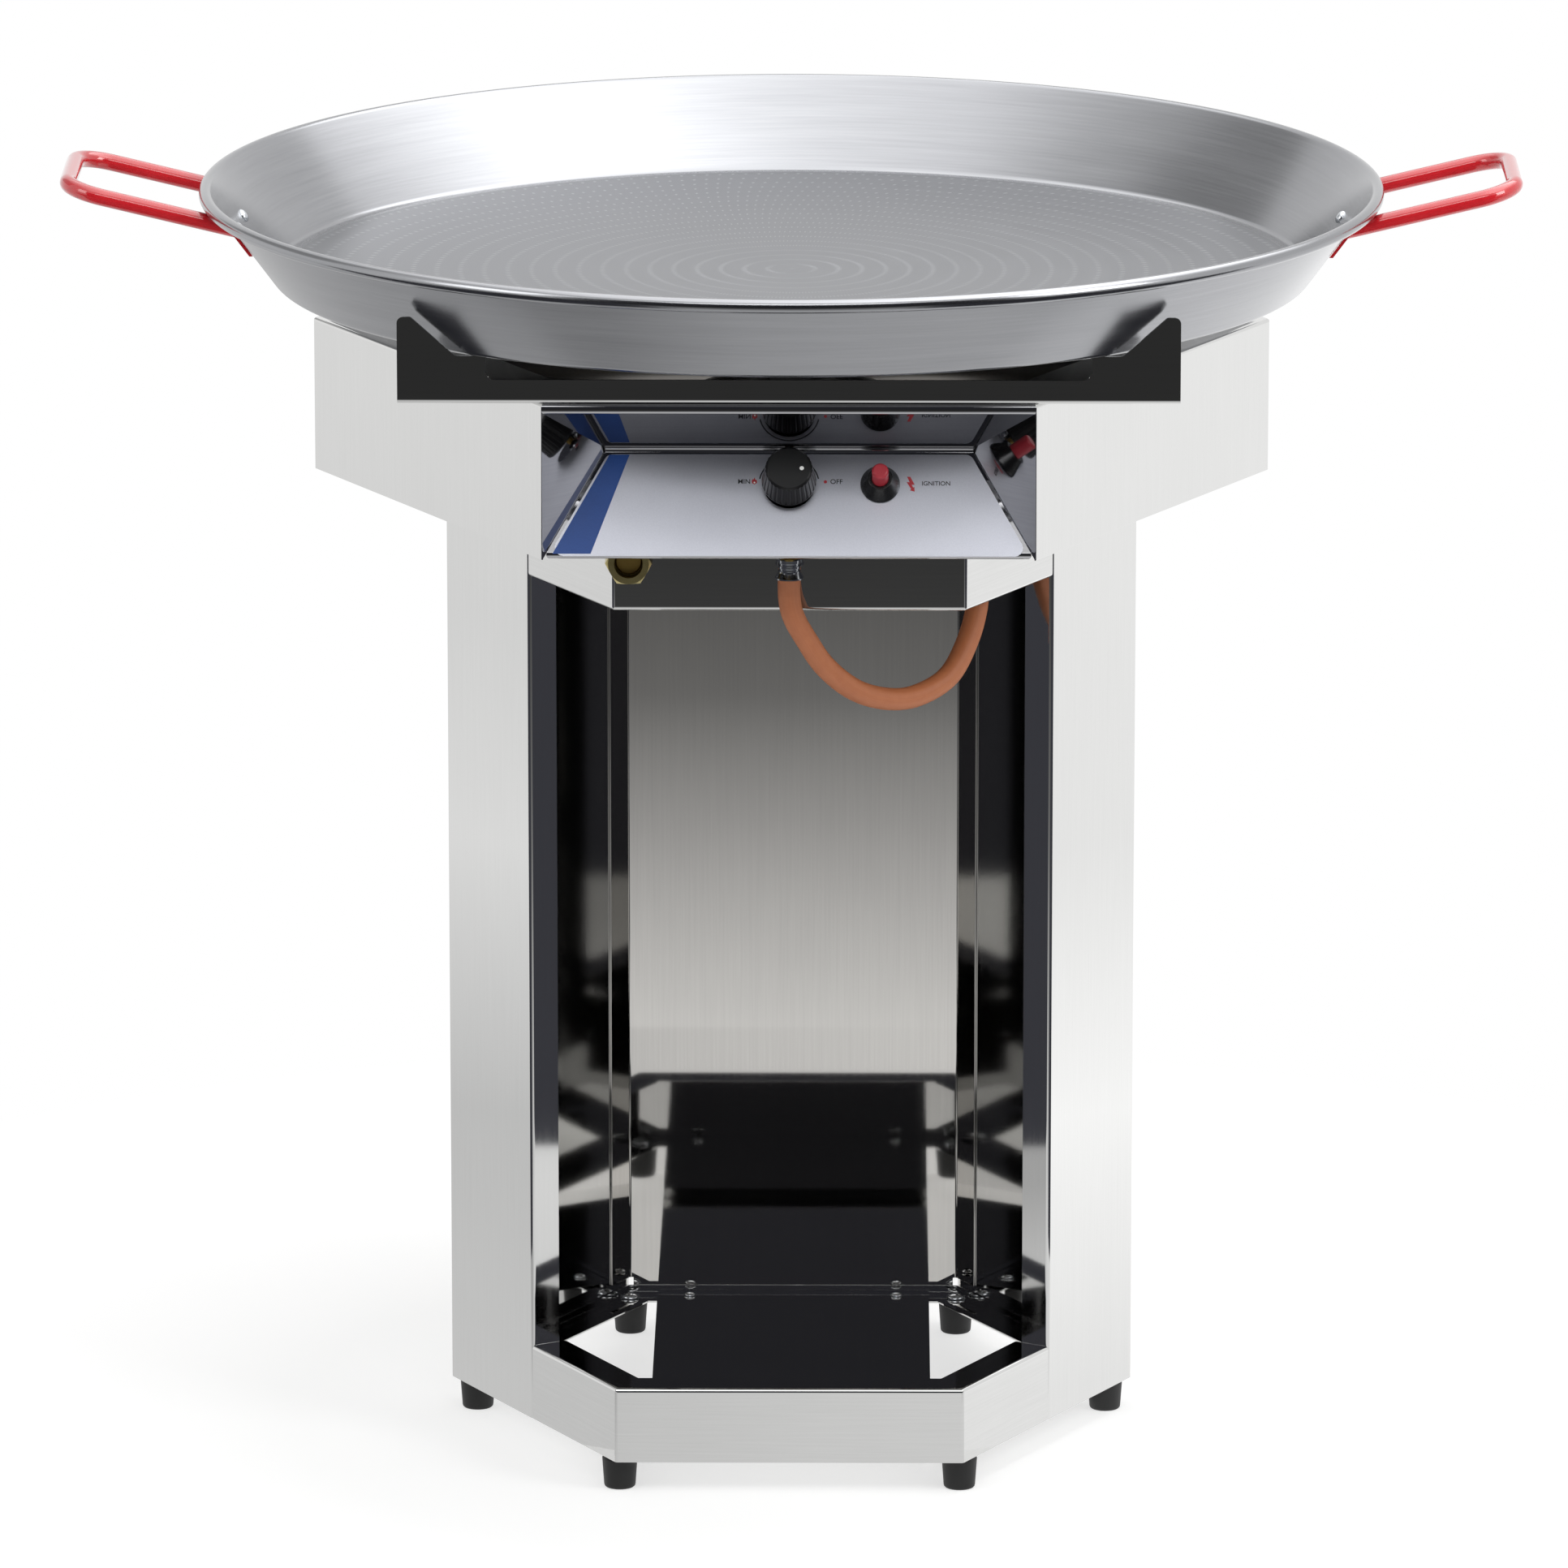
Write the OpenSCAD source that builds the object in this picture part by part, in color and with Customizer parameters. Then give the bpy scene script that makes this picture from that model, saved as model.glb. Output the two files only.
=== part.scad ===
// Gas paella burner: a six-sided sheet-steel stand, a burner box with a folded
// control recess, a star burner with its tap and igniter, and a lift-off pan.
// Millimetres, +Z up, origin on the floor under the middle of the stand.

/* [Stand] */
// Length of one side of the six-sided stand
stand_side = 235; // [215:1:250]
// Height of the stand's walls
stand_h = 643; // [600:1:700]
// Height of the stand's lower edge above the floor
foot_gap = 22; // [16:1:40]
// Thickness of the folded sheet
sheet_t = 1.2; // [0.8:0.1:1.5]
// Outer radius of the folds
bend_r = 3; // [2.5:0.5:4]
// Height of the front rim and of the front collar
rim_h = 52; // [46:1:70]
// Depth of the front rim's flange
rim_flange = 26; // [15:1:26]
// Depth of the front collar's flange
collar_flange = 12; // [8:1:14]
// Depth of the flange that edges the front opening
return_w = 21; // [14:1:24]
// Width of the back wall's side flanges
back_flange = 25; // [15:1:35]
// Width of the inner ring at the stand's foot
base_w = 25; // [22:1:26]
// Height of the lower ring's lip
base_lip = 6; // [5:1:12]
// Height of the lower ring's top above the stand's lower edge
ring_rise = 2; // [1.5:0.5:10]
// Width of the inner ring at the stand's head
ring_w = 22; // [18:1:26]
// Height of the upper ring's lip
ring_lip = 18; // [12:1:24]
// Width of the floor plate
plate_w = 192; // [150:1:210]
// Depth of the floor plate's turned-down edges
plate_edge = 10; // [6:1:14]

/* [Feet and screws] */
// Diameter of a rubber foot at its top
foot_d = 24; // [20:1:28]
// Narrowing of a foot towards the floor
foot_taper = 1.3; // [0.5:0.1:3]
// Diameter of a foot's neck
foot_neck_d = 16; // [12:1:17]
// Distance of the side feet from the side corners
foot_inset = 18; // [17:1:26]
// Distance of the front and back feet from the front and back faces
foot_setback = 18.5; // [16:0.5:22]
// Distance of the front and back feet in from the corners
foot_shift = 2.5; // [1:0.5:8]
// Shank diameter of the foot bolts
bolt_d = 6; // [4:1:8]
// Shank diameter of the small screws
screw_d = 4; // [3:1:5]
// Clearance of a screw in its hole
screw_gap = 0.2; // [0.1:0.05:0.4]

/* [Burner box] */
// Length of one side of the six-sided burner box
box_side = 324; // [310:1:335]
// Height of the burner box
box_h = 105; // [95:1:120]
// Depth of the box's top flange
box_flange = 43; // [34:1:45]
// Height of the box floor's lip
floor_lip = 15; // [8:1:20]
// Diameter of the air opening in the box floor
air_d = 250; // [220:1:255]
// Depth of the control recess
recess_depth = 46; // [42:1:50]
// Height of the recess's crease above the box's lower edge
crease_h = 65; // [60:1:70]
// Height of the hem above the recess
hem_h = 6; // [5.5:0.5:8]
// Inset of the recess's crease at each end
cheek_inset = 42; // [38:1:46]
// Depth of the flange under the control panel
panel_flange = 12; // [9:1:14]
// Thickness of the control label
label_t = 0.4; // [0.3:0.1:0.8]
// Margin of the control label
label_margin = 2.5; // [2:0.5:6]
// Corner radius of the control label
label_r = 6; // [2:0.5:10]

/* [Pan support] */
// Length of a support strip
support_l = 513; // [480:1:540]
// Thickness of a support strip
support_t = 2; // [1.5:0.1:2.5]
// Depth of a support strip's flange
support_flange = 30; // [24:1:38]
// Height of the shoulders that carry the pan
shoulder_h = 32; // [28:1:40]
// Height of the horns that centre the pan
horn_h = 58; // [50:1:66]
// Width of a horn at its top
horn_top_w = 9; // [7:1:14]
// Width of a horn at its foot
horn_foot_w = 38; // [32:1:44]
// Distance of the notch from the strip's ends
notch_inset = 58; // [52:1:70]
// Height of the notch's floor
notch_h = 16; // [12:1:20]

/* [Pan] */
// Outer diameter of the pan
pan_d = 800; // [780:1:830]
// Distance that the rim stands out beyond the pan's bottom
pan_flare = 50; // [40:1:60]
// Height of the pan
pan_h = 61.5; // [54:0.5:70]
// Sheet thickness of the pan
pan_t = 1.5; // [1:0.1:2]
// Diameter of the rolled rim
bead_d = 9; // [7:0.5:11]
// Outer radius between the pan's bottom and wall
knuckle_r = 8; // [5:1:14]
// Diameter of the handle rod
rod_d = 11.5; // [9:0.5:13]
// Width of a handle between its rods' centres
handle_w = 122; // [100:1:140]
// Reach of a handle beyond the rim
handle_reach = 92; // [75:1:110]
// Rise of a handle's rods in degrees
handle_rise = 13.5; // [6:0.5:16]
// Bend radius of a handle's corners
handle_bend = 25; // [18:1:32]
// Height of a handle's strap along the pan's wall
strap_h = 30; // [24:1:34]
// Thickness of a handle's strap
strap_t = 2.5; // [2:0.1:3.5]
// Shank diameter of a handle rivet
rivet_d = 5; // [4:0.5:6]
// Distance between a handle's rivets
rivet_pitch = 48; // [36:1:60]

/* [Knob and tap] */
// Diameter of the knob at its foot
knob_d = 36; // [32:1:40]
// Diameter of the knob at its top
knob_top_d = 31; // [27:1:31]
// Height of the knob
knob_h = 22; // [18:1:26]
// Gap between the knob and the panel
knob_gap = 6; // [5:0.5:9]
// Travel of the knob when it is pushed
knob_push = 3; // [2:0.5:4]
// Number of flutes round the knob
flutes = 30; // [20:1:36]
// Height of the knob's and igniter's axes up the slope of the panel
control_rise = 54; // [48:1:58]
// Diameter of the tap's stem
stem_d = 6; // [5:0.5:7]
// Diameter of the tap's plug
plug_d = 14; // [13:0.5:16]
// Running clearance of a part that turns
run_gap = 0.05; // [0.03:0.01:0.1]
// Diameter of the tap's body
tap_d = 28; // [26:1:32]

/* [Igniter] */
// Sideways place of the igniter
igniter_x = 60; // [54:1:72]
// Diameter of the igniter's button
button_d = 11; // [9:0.5:12]
// Height of the button's top above the panel
button_h = 25; // [20:1:28]
// Travel of the button
button_travel = 7; // [4:0.5:8]
// Diameter of the igniter's collar
collar_d = 26; // [24:1:30]
// Height of the igniter's collar
collar_h = 11; // [8:0.5:13]
// Clearance round a part that slides
slide_gap = 0.3; // [0.2:0.05:0.5]

/* [Burner] */
// Reach of an arm from the middle of the burner
arm_reach = 250; // [220:1:270]
// Diameter of an arm's tube
arm_d = 24; // [20:1:26]
// Wall of an arm's tube
arm_wall = 1.5; // [1:0.1:2]
// Height of the arms above the box's lower edge
arm_rise = 70; // [66:1:74]
// Diameter of the burner's head
hub_d = 104; // [92:1:120]
// Diameter of a gas port
port_d = 3; // [2:0.5:4]
// Distance between gas ports
port_pitch = 18; // [14:1:24]
// Height of the mixer tube above the box's lower edge
mixer_rise = 28; // [26:1:32]
// Distance of the burner's gas inlet from the middle
inlet_reach = 174; // [168:1:176]
// Direction of the burner's gas inlet in degrees
inlet_az = -44; // [-46:1:-42]

/* [Gas supply] */
// Outer diameter of the gas hose
hose_d = 15; // [13:0.5:16]
// Diameter of the hose's ferrules
ferrule_d = 15; // [14:0.5:17]
// Diameter of a ferrule's lip
ferrule_lip_d = 19; // [18:0.5:21]
// Width across flats of the inlet nut
nut_af = 27; // [26:1:30]
// Bore of the inlet nut's thread
nut_bore = 19; // [17:0.5:20]
// Length of the inlet nut
nut_l = 18; // [16:1:20]
// Depth of the inlet nut's thread
thread_l = 10.5; // [8:0.5:11]
// Sideways place of the inlet nut
nut_x = -106; // [-112:1:-100]
// Depth of the inlet's axis below the box's lower edge
nut_drop = 10; // [6:1:14]
// Diameter of the inlet pipe
pipe_d = 10; // [8:1:11]

/* [Hidden] */
$fn = 64;
// Gap between pieces that lie against each other
fit_gap = 0.05;

// Apothems and levels of the stand and the box
stand_a = stand_side * cos(30);
box_a = box_side * cos(30);
z_low = foot_gap;
z_ring = z_low + ring_rise;
z_rim = z_low + rim_h;
z_box = z_low + stand_h;
z_collar = z_box - rim_h;
z_top = z_box + box_h;
z_floor = z_box + sheet_t;
ring_clear = 4;
foot_zone = ring_rise + base_lip + ring_clear;
head_zone = ring_lip + ring_clear;
front_az = 270;
front_right_az = 330;
back_right_az = 30;
back_az = 90;
back_left_az = 150;
front_left_az = 210;

// Level of the pan: on the shoulders, or in the notch where its bottom is too small for them
pan_bottom_r = pan_d / 2 - pan_flare;
shoulder_r = norm([support_l / 2 - notch_inset, box_a]);
z_pan = z_top + (pan_bottom_r > shoulder_r ? shoulder_h : notch_h);

// Places of the feet and the screws
foot_spots = [
    [stand_side - foot_inset, 0],
    [stand_side / 2 - foot_shift, stand_a - foot_setback],
    [foot_shift - stand_side / 2, stand_a - foot_setback],
    [foot_inset - stand_side, 0],
    [foot_shift - stand_side / 2, foot_setback - stand_a],
    [stand_side / 2 - foot_shift, foot_setback - stand_a]
];
plate_screw_inset = 23;
plate_screw_x = plate_w / 2 - plate_screw_inset;
plate_screw_y = stand_a - sheet_t - base_w * 0.6;
ring_screw_r = (stand_a - sheet_t - ring_w / 2) / cos(30);
plate_spots = [for (x = [-1, 1], y = [-1, 1]) [x * plate_screw_x, y * plate_screw_y]];
ring_spots = [for (k = [0 : 5]) ring_screw_r * [cos(60 * k), sin(60 * k)]];
support_screw_inset = 52;
support_screw_x = box_side / 2 - support_screw_inset;
support_screw_y = support_flange * 0.6 - box_a;
foot_bore_l = 14;

// Frame of the control panel and of the axes on it
panel_tilt = atan(crease_h / recess_depth);
panel_len = norm([crease_h, recess_depth]);
recess_path = [
    [box_flange, z_top], [0, z_top], [0, z_top - hem_h],
    [recess_depth, z_box + crease_h], [0, z_box], [panel_flange, z_box]
];
recess_mouth = [
    [-box_side / 2, -box_a], [box_side / 2, -box_a],
    [box_side / 2 - cheek_inset, recess_depth - box_a], [cheek_inset - box_side / 2, recess_depth - box_a]
];
panel_back = -sheet_t - fit_gap;
collar_rest = 9;
neck_hole_d = collar_d - collar_rest;
stem_hole_gap = 3;
stem_hole_d = stem_d + stem_hole_gap;
tap_ear = 12;
knob_z0 = label_t + knob_gap;
bonnet_l = 9;
tap_z0 = panel_back - bonnet_l;
plug_l = 28;
plug_z1 = tap_z0 - 2 * run_gap;
plug_end = 4;
stem_bore_l = plug_l - plug_end;
stem_z0 = plug_z1 - stem_bore_l + knob_push + slide_gap;
knob_roof = 6;
stem_z1 = knob_z0 + knob_h - knob_roof;
magnet_d = 13;
tap_z1 = tap_z0 - plug_l - magnet_d;
magnet_l = 10;
outlet_depth = 20;
outlet_a = tap_z0 - outlet_depth;
inlet_depth = 35;
inlet_a = tap_z0 - inlet_depth;
function on_axis(a) = [
    0,
    -box_a + control_rise * cos(panel_tilt) - a * sin(panel_tilt),
    z_box + control_rise * sin(panel_tilt) + a * cos(panel_tilt)
];

// Gas inlet, outlet and hose
outlet_at = on_axis(outlet_a);
inlet_at = on_axis(inlet_a);
boss_d = 18;
boss_l = 22;
outlet_rise = 3.4;
outlet_z = z_box + outlet_rise;
nozzle_hex_l = 8;
ferrule_drop = 11;
ferrule_z = z_box - ferrule_drop;
ferrule_l = 14;
hose_seat = 3;
nut_z = z_box - nut_drop;
pipe_bend = 10;
tail_l = 14;
tail_d = 13;
tail_gap = 1.5;
tail_y1 = inlet_at[1] - pipe_bend - tail_gap;
seat_l = 2.2;
undercut_l = seat_l + 2 * slide_gap;
seat_y = tail_y1 - tail_l;
nut_y0 = seat_y - thread_l + slide_gap;
burner_inlet = inlet_reach * [cos(inlet_az), sin(inlet_az)];
rear_ferrule_drop = 43;
rear_ferrule_z = z_box - rear_ferrule_drop;
hose_start = [0, outlet_at[1], ferrule_z - ferrule_l + hose_seat - 2 * slide_gap];
hose_end = [burner_inlet[0], burner_inlet[1], rear_ferrule_z + hose_seat - 2 * slide_gap];
// Way of the hose: the share of its run sideways and backwards, and its depth below the box
hose_way = [
    [0, 0, 37], [0.02, 0, 50], [0.08, 0.03, 65], [0.19, 0.09, 87], [0.35, 0.21, 106], [0.53, 0.37, 116],
    [0.69, 0.53, 117], [0.85, 0.7, 108], [0.95, 0.86, 88], [1, 0.96, 67], [1, 1, 53]
];
hose_run = hose_end - hose_start;
hose_route = concat(
    [hose_start],
    [for (w = hose_way) [hose_start[0] + w[0] * hose_run[0], hose_start[1] + w[1] * hose_run[1],
        z_box - w[2]]],
    [hose_end]
);

// Burner, its electrode and its flame sensor
arm_count = 6;
bar_t = 3;
z_bar = z_floor + bar_t;
z_arm = z_box + arm_rise;
z_mixer = z_box + mixer_rise;
socket_l = 8;
hub_top = z_arm + arm_d / 2 + 2;
cap_t = 4;
mixer_d = 28;
mixer_l = 96;
neck_d = 56;
bracket_t = 1.5;
sensor_setback = 36;
sensor_y = sensor_setback - stand_a;
electrode_x = 46;
sensor_x = 26;
sensor_drop = 24;
sensor_z = z_arm - sensor_drop;
flange_z = sensor_z + bracket_t + fit_gap;
electrode_tail = 16;
electrode_foot = [electrode_x, sensor_y, sensor_z - electrode_tail];
sensor_tail = 14;
sensor_foot = [sensor_x, sensor_y, sensor_z - sensor_tail];
sensor_flange_t = 4;
lead_d = 3.4;
sensor_lead_d = 2.4;
lead_run = 14;
ceramic_d = 7;
lead_out = 4;
igniter_l = 34;
igniter_bore_l = 22;

// Pan profile: the wall's inner face runs on into the rim, which is rolled outwards
bead_c = [pan_d / 2 - bead_d / 2, pan_h - bead_d / 2];
wall_foot = [pan_bottom_r, 0];
wall_span = bead_c - wall_foot;
roll_set = bead_d / 2 - pan_t;
wall_angle = atan2(wall_span[1], wall_span[0]) + asin(roll_set / norm(wall_span));
wall_len = sqrt(wall_span * wall_span - pow(roll_set, 2)) - sqrt(pow(bead_d / 2, 2) - pow(roll_set, 2));
pan_wall = [[0, 0], wall_foot, wall_foot + wall_len * [cos(wall_angle), sin(wall_angle)]];
strap_drop = 6;
strap_z1 = bead_c[1] - bead_d / 2 - strap_drop;
strap_z0 = strap_z1 - strap_h * sin(wall_angle);
rod_gap = 0.6;
rod_drop = bead_d / 2 + rod_d / 2 / cos(handle_rise) + rod_gap;
rivet_drop = 2;
rivet_z = (strap_z0 + strap_z1) / 2 - rivet_drop;
rivet_az = asin(rivet_pitch / pan_d);
strap_gap = 0.3;
wall_gap = strap_gap / sin(wall_angle);
function wall_r(z) = wall_foot[0] + z / tan(wall_angle);

function unit(v) = v / norm(v);
function turn(a, b) = acos(max(-1, min(1, a * b)));
function reversed(p) = [for (i = [len(p) - 1 : -1 : 0]) p[i]];

// Arc that rounds the corner p1 between p0 and p2
function fillet(p0, p1, p2, r, n = 5) =
    let (a = unit(p1 - p0), b = unit(p2 - p1), th = turn(a, b))
    th < 1 || r <= 0 ? [p1] :
    let (
        c = p1 + unit(b - a) * r / cos(th / 2),
        s = a[0] * b[1] > a[1] * b[0] ? 1 : -1,
        v = p1 - a * r * tan(th / 2) - c
    )
    [for (i = [0 : n]) let (q = s * th * i / n)
        c + [v[0] * cos(q) - v[1] * sin(q), v[0] * sin(q) + v[1] * cos(q)]];

// Open path with its inner corners rounded
function bent(p, r) = [for (i = [0 : len(p) - 1])
    each (i == 0 || i == len(p) - 1) ? [p[i]] : fillet(p[i - 1], p[i], p[i + 1], r)];

// Path moved to its left by d
function shifted(p, d) = [for (i = [0 : len(p) - 1])
    let (
        a = i > 0 ? unit(p[i] - p[i - 1]) : unit(p[1] - p[0]),
        b = i < len(p) - 1 ? unit(p[i + 1] - p[i]) : a
    )
    p[i] + d * [-a[1] - b[1], a[0] + b[0]] / (1 + a * b)];

// Outline of a sheet folded along a path, with its thickness to the left
function folded(p, r, t) = let (q = bent(p, r)) concat(q, reversed(shifted(q, t)));

// Closed outline with rounded corners, r being one radius or one for each corner
function rounded(p, r) = let (n = len(p)) [for (i = [0 : n - 1])
    each fillet(p[(i + n - 1) % n], p[i], p[(i + 1) % n], is_list(r) ? r[i] : r)];

function hexagon(apothem) = [for (k = [0 : 5]) apothem / cos(30) * [cos(60 * k), sin(60 * k)]];

// Corner of two upright planes, given by their directions and distances
function meet(az1, d1, az2, d2) =
    let (s = sin(az2 - az1))
    [d1 * sin(az2) - d2 * sin(az1), d2 * cos(az1) - d1 * cos(az2)] / s;

// Point on a face of a six-sided piece, at a distance along it
function on_face(az, apothem, along) =
    apothem * [cos(az), sin(az)] + along * [-sin(az), cos(az)];

// Smooth curve through a route's points
function spline(p, i, s) =
    let (
        a = p[max(i - 1, 0)], b = p[i],
        c = p[i + 1], d = p[min(i + 2, len(p) - 1)]
    )
    0.5 * (2 * b + s * (c - a) + s * s * (2 * a - 5 * b + 4 * c - d) + s * s * s * (3 * b - a - 3 * c + d));

// Sheet profile of depths and heights, run along one face between two places
module face_strip(az, apothem, outline, from, to) {
    rotate(az) intersection() {
        linear_extrude(z_top + horn_h)
            polygon([[0, 0], [2 * apothem, 2 * apothem * tan(30)], [2 * apothem, -2 * apothem * tan(30)]]);
        translate([0, to, 0]) rotate([90, 0, 0]) linear_extrude(to - from)
            polygon([for (p = outline) [apothem - p[0], p[1]]]);
    }
}

// Round rod along a path with bent corners
module rod(path, d, r) {
    n = len(path) - 1;
    function cut(i) = i == 0 || i == n ? 0
        : r * tan(turn(unit(path[i] - path[i - 1]), unit(path[i + 1] - path[i])) / 2);
    for (i = [0 : n - 1]) {
        a = unit(path[i + 1] - path[i]);
        p = path[i] + a * cut(i);
        q = path[i + 1] - a * cut(i + 1);
        aim(p, a) cylinder(d = d, h = norm(q - p));
    }
    for (i = [1 : n - 1]) {
        a = unit(path[i] - path[i - 1]);
        b = unit(path[i + 1] - path[i]);
        th = turn(a, b);
        c = path[i] + unit(b - a) * r / cos(th / 2);
        x = unit(path[i] - a * cut(i) - c);
        z = cross(x, a);
        multmatrix([[x[0], a[0], z[0], c[0]], [x[1], a[1], z[1], c[1]], [x[2], a[2], z[2], c[2]]])
            rotate_extrude(angle = th) translate([r, 0]) circle(d = d);
    }
}

// Tube swept along a smooth curve through a route's points
module swept(route, d, sides) {
    steps = 3;
    last = len(route) - 1;
    across = unit(cross([0, 0, 1], route[last] - route[0]));
    line = concat([for (i = [0 : last - 1], s = [0 : steps - 1]) spline(route, i, s / steps)], [route[last]]);
    n = len(line) - 1;
    rings = [for (i = [0 : n])
        let (
            t = unit(line[min(i + 1, n)] - line[max(i - 1, 0)]),
            u = unit(cross(t, across)),
            v = cross(t, u)
        )
        for (k = [0 : sides - 1])
            line[i] + d / 2 * (cos(360 / sides * k) * u + sin(360 / sides * k) * v)];
    faces = concat(
        [[for (k = [0 : sides - 1]) k], [for (k = [sides - 1 : -1 : 0]) n * sides + k]],
        [for (i = [0 : n - 1], k = [0 : sides - 1], h = [0, 1])
            let (a = i * sides + k, b = i * sides + (k + 1) % sides)
            h == 0 ? [a, a + sides, b] : [b, a + sides, b + sides]]
    );
    polyhedron(points = rings, faces = faces);
}

// Children moved to a point and turned from +Z to a direction
module aim(at, to) {
    translate(at) rotate([0, acos(to[2]), atan2(to[1], to[0])]) children();
}

module on_panel() {
    translate([0, -box_a, z_box]) rotate([panel_tilt, 0, 0]) children();
}

module on_knob_axis() {
    on_panel() translate([0, control_rise, 0]) children();
}

module on_igniter_axis() {
    on_panel() translate([igniter_x, control_rise, 0]) children();
}

module tube(d, bore, h) {
    difference() {
        cylinder(d = d, h = h);
        translate([0, 0, -1]) cylinder(d = bore, h = h + 2);
    }
}

module hex_bar(af, h) {
    cylinder(d = af / cos(30), h = h, $fn = 6);
}

// Screw with a domed head on z = 0 and its shank below
module dome_screw(d, grip) {
    rotate_extrude() polygon(concat(
        [[0, -grip], [d / 2, -grip], [d / 2, 0], [1.15 * d, 0]],
        [for (q = [0 : 15 : 90]) [1.15 * d * cos(q), 0.65 * d * sin(q)]]
    ));
}

// Side wall: half a front face, a whole back face and a flange beside the opening
module side_panel() {
    path = [
        on_face(front_left_az, stand_a - return_w, 0),
        on_face(front_left_az, stand_a, 0),
        meet(front_left_az, stand_a, back_left_az, stand_a),
        meet(back_left_az, stand_a, back_az, stand_a)
    ];
    difference() {
        translate([0, 0, z_low]) linear_extrude(stand_h) polygon(folded(path, bend_r, -sheet_t));
        for (zone = [[z_low - 1, foot_zone], [z_box - head_zone, head_zone]])
            rotate(front_left_az)
                translate([stand_a - return_w - 1, -2 * bend_r, zone[0]])
                    cube([return_w + 1 - sheet_t, 4 * bend_r, zone[1] + 1]);
    }
}

module left_side_panel() {
    color("lightgray") side_panel();
}

module right_side_panel() {
    color("lightgray") mirror([1, 0, 0]) side_panel();
}

module back_panel() {
    left = meet(back_left_az, stand_a - sheet_t, back_az, stand_a);
    right = [-left[0], left[1]];
    side = back_flange * [cos(240), sin(240)];
    path = [left + side, left, right, right + [-side[0], side[1]]];
    color("gainsboro") {
        translate([0, 0, z_low]) linear_extrude(stand_h)
            polygon(folded([left + [bend_r, 0], right - [bend_r, 0]], bend_r, -sheet_t));
        translate([0, 0, z_low + foot_zone]) linear_extrude(stand_h - foot_zone - head_zone)
            polygon(folded(path, bend_r, -sheet_t));
    }
}

// Sheet across the front, from the middle of one front side face to the other
module front_band(outline) {
    intersection() {
        linear_extrude(z_top) polygon(rounded(hexagon(stand_a), bend_r));
        union() {
            face_strip(front_left_az, stand_a, outline, 0, stand_side);
            face_strip(front_az, stand_a, outline, -stand_side, stand_side);
            face_strip(front_right_az, stand_a, outline, -stand_side, 0);
        }
    }
}

module front_rim() {
    color("silver") front_band(folded([[rim_flange, z_rim], [0, z_rim], [0, z_low]], bend_r, sheet_t));
}

module front_collar() {
    color("dimgray")
        front_band(folded([[collar_flange, z_collar], [0, z_collar], [0, z_box]], bend_r, -sheet_t));
}

// Flat ring inside the stand with an upright lip, drilled at the given places
module angle_ring(w, lip, spots, d) {
    outer = stand_a - sheet_t - fit_gap;
    corner = bend_r - sheet_t;
    difference() {
        union() {
            linear_extrude(sheet_t) difference() {
                polygon(rounded(hexagon(outer), corner));
                polygon(hexagon(outer - w));
            }
            linear_extrude(lip) difference() {
                polygon(rounded(hexagon(outer), corner));
                polygon(hexagon(outer - sheet_t));
            }
        }
        for (p = spots) translate([p[0], p[1], -1]) cylinder(d = d, h = sheet_t + 2);
    }
}

module base_ring() {
    color("silver") difference() {
        translate([0, 0, z_ring - sheet_t])
            angle_ring(base_w, base_lip, foot_spots, bolt_d + 2 * screw_gap);
        for (p = plate_spots) translate([p[0], p[1], z_low]) cylinder(d = screw_d + 2 * screw_gap, h = rim_h);
    }
}

module top_ring() {
    color("silver") translate([0, 0, z_box]) mirror([0, 0, 1])
        angle_ring(ring_w, ring_lip, ring_spots, bolt_d + 2 * screw_gap);
}

module floor_plate() {
    l = 2 * (stand_a - 2 * sheet_t) - 1;
    fold_l = 2 * (stand_a - sheet_t - base_w) - 2;
    color("dimgray") difference() {
        union() {
            translate([-plate_w / 2, -l / 2, z_ring]) cube([plate_w, l, sheet_t]);
            for (x = [-plate_w / 2, plate_w / 2 - sheet_t])
                translate([x, -fold_l / 2, z_ring + sheet_t - plate_edge])
                    cube([sheet_t, fold_l, plate_edge]);
        }
        for (p = plate_spots) translate([p[0], p[1], z_low]) cylinder(d = screw_d + 2 * screw_gap, h = rim_h);
    }
}

module floor_plate_screws() {
    color("silver") for (p = plate_spots)
        translate([p[0], p[1], z_ring + sheet_t]) dome_screw(screw_d, 2 * sheet_t + 3);
}

// Rubber foot with a neck up to the ring and a blind hole for its bolt
module foot(k) {
    p = foot_spots[k - 1];
    h = z_ring - sheet_t;
    top_gap = 0.5;
    edge_r = 2;
    edge_x = foot_d / 2 - foot_taper - edge_r;
    color("black") translate([p[0], p[1], 0]) difference() {
        rotate_extrude() polygon(concat(
            [[0, 0], [edge_x, 0]],
            [for (q = [-60 : 30 : 0]) [edge_x + edge_r * cos(q), edge_r + edge_r * sin(q)]],
            [[foot_d / 2, foot_gap - top_gap - 1], [foot_d / 2 - 1, foot_gap - top_gap]],
            [[foot_neck_d / 2, foot_gap - top_gap], [foot_neck_d / 2, h], [0, h]]
        ));
        translate([0, 0, h - foot_bore_l]) cylinder(d = bolt_d + 2 * screw_gap, h = foot_bore_l + 1);
    }
}

module foot_bolts() {
    color("silver") for (p = foot_spots)
        translate([p[0], p[1], z_ring]) dome_screw(bolt_d, sheet_t + foot_bore_l - 1);
}

// Five walls of the burner box, folded over at the top
module burner_box_wall() {
    outline = folded([[box_flange, z_top], [0, z_top], [0, z_box]], bend_r, sheet_t);
    color("lightgray") intersection() {
        linear_extrude(z_top + 1) polygon(rounded(hexagon(box_a), bend_r));
        union() for (az = [back_right_az, back_az, back_left_az, front_left_az, front_right_az])
            face_strip(az, box_a, outline, -box_side, box_side);
    }
}

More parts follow.
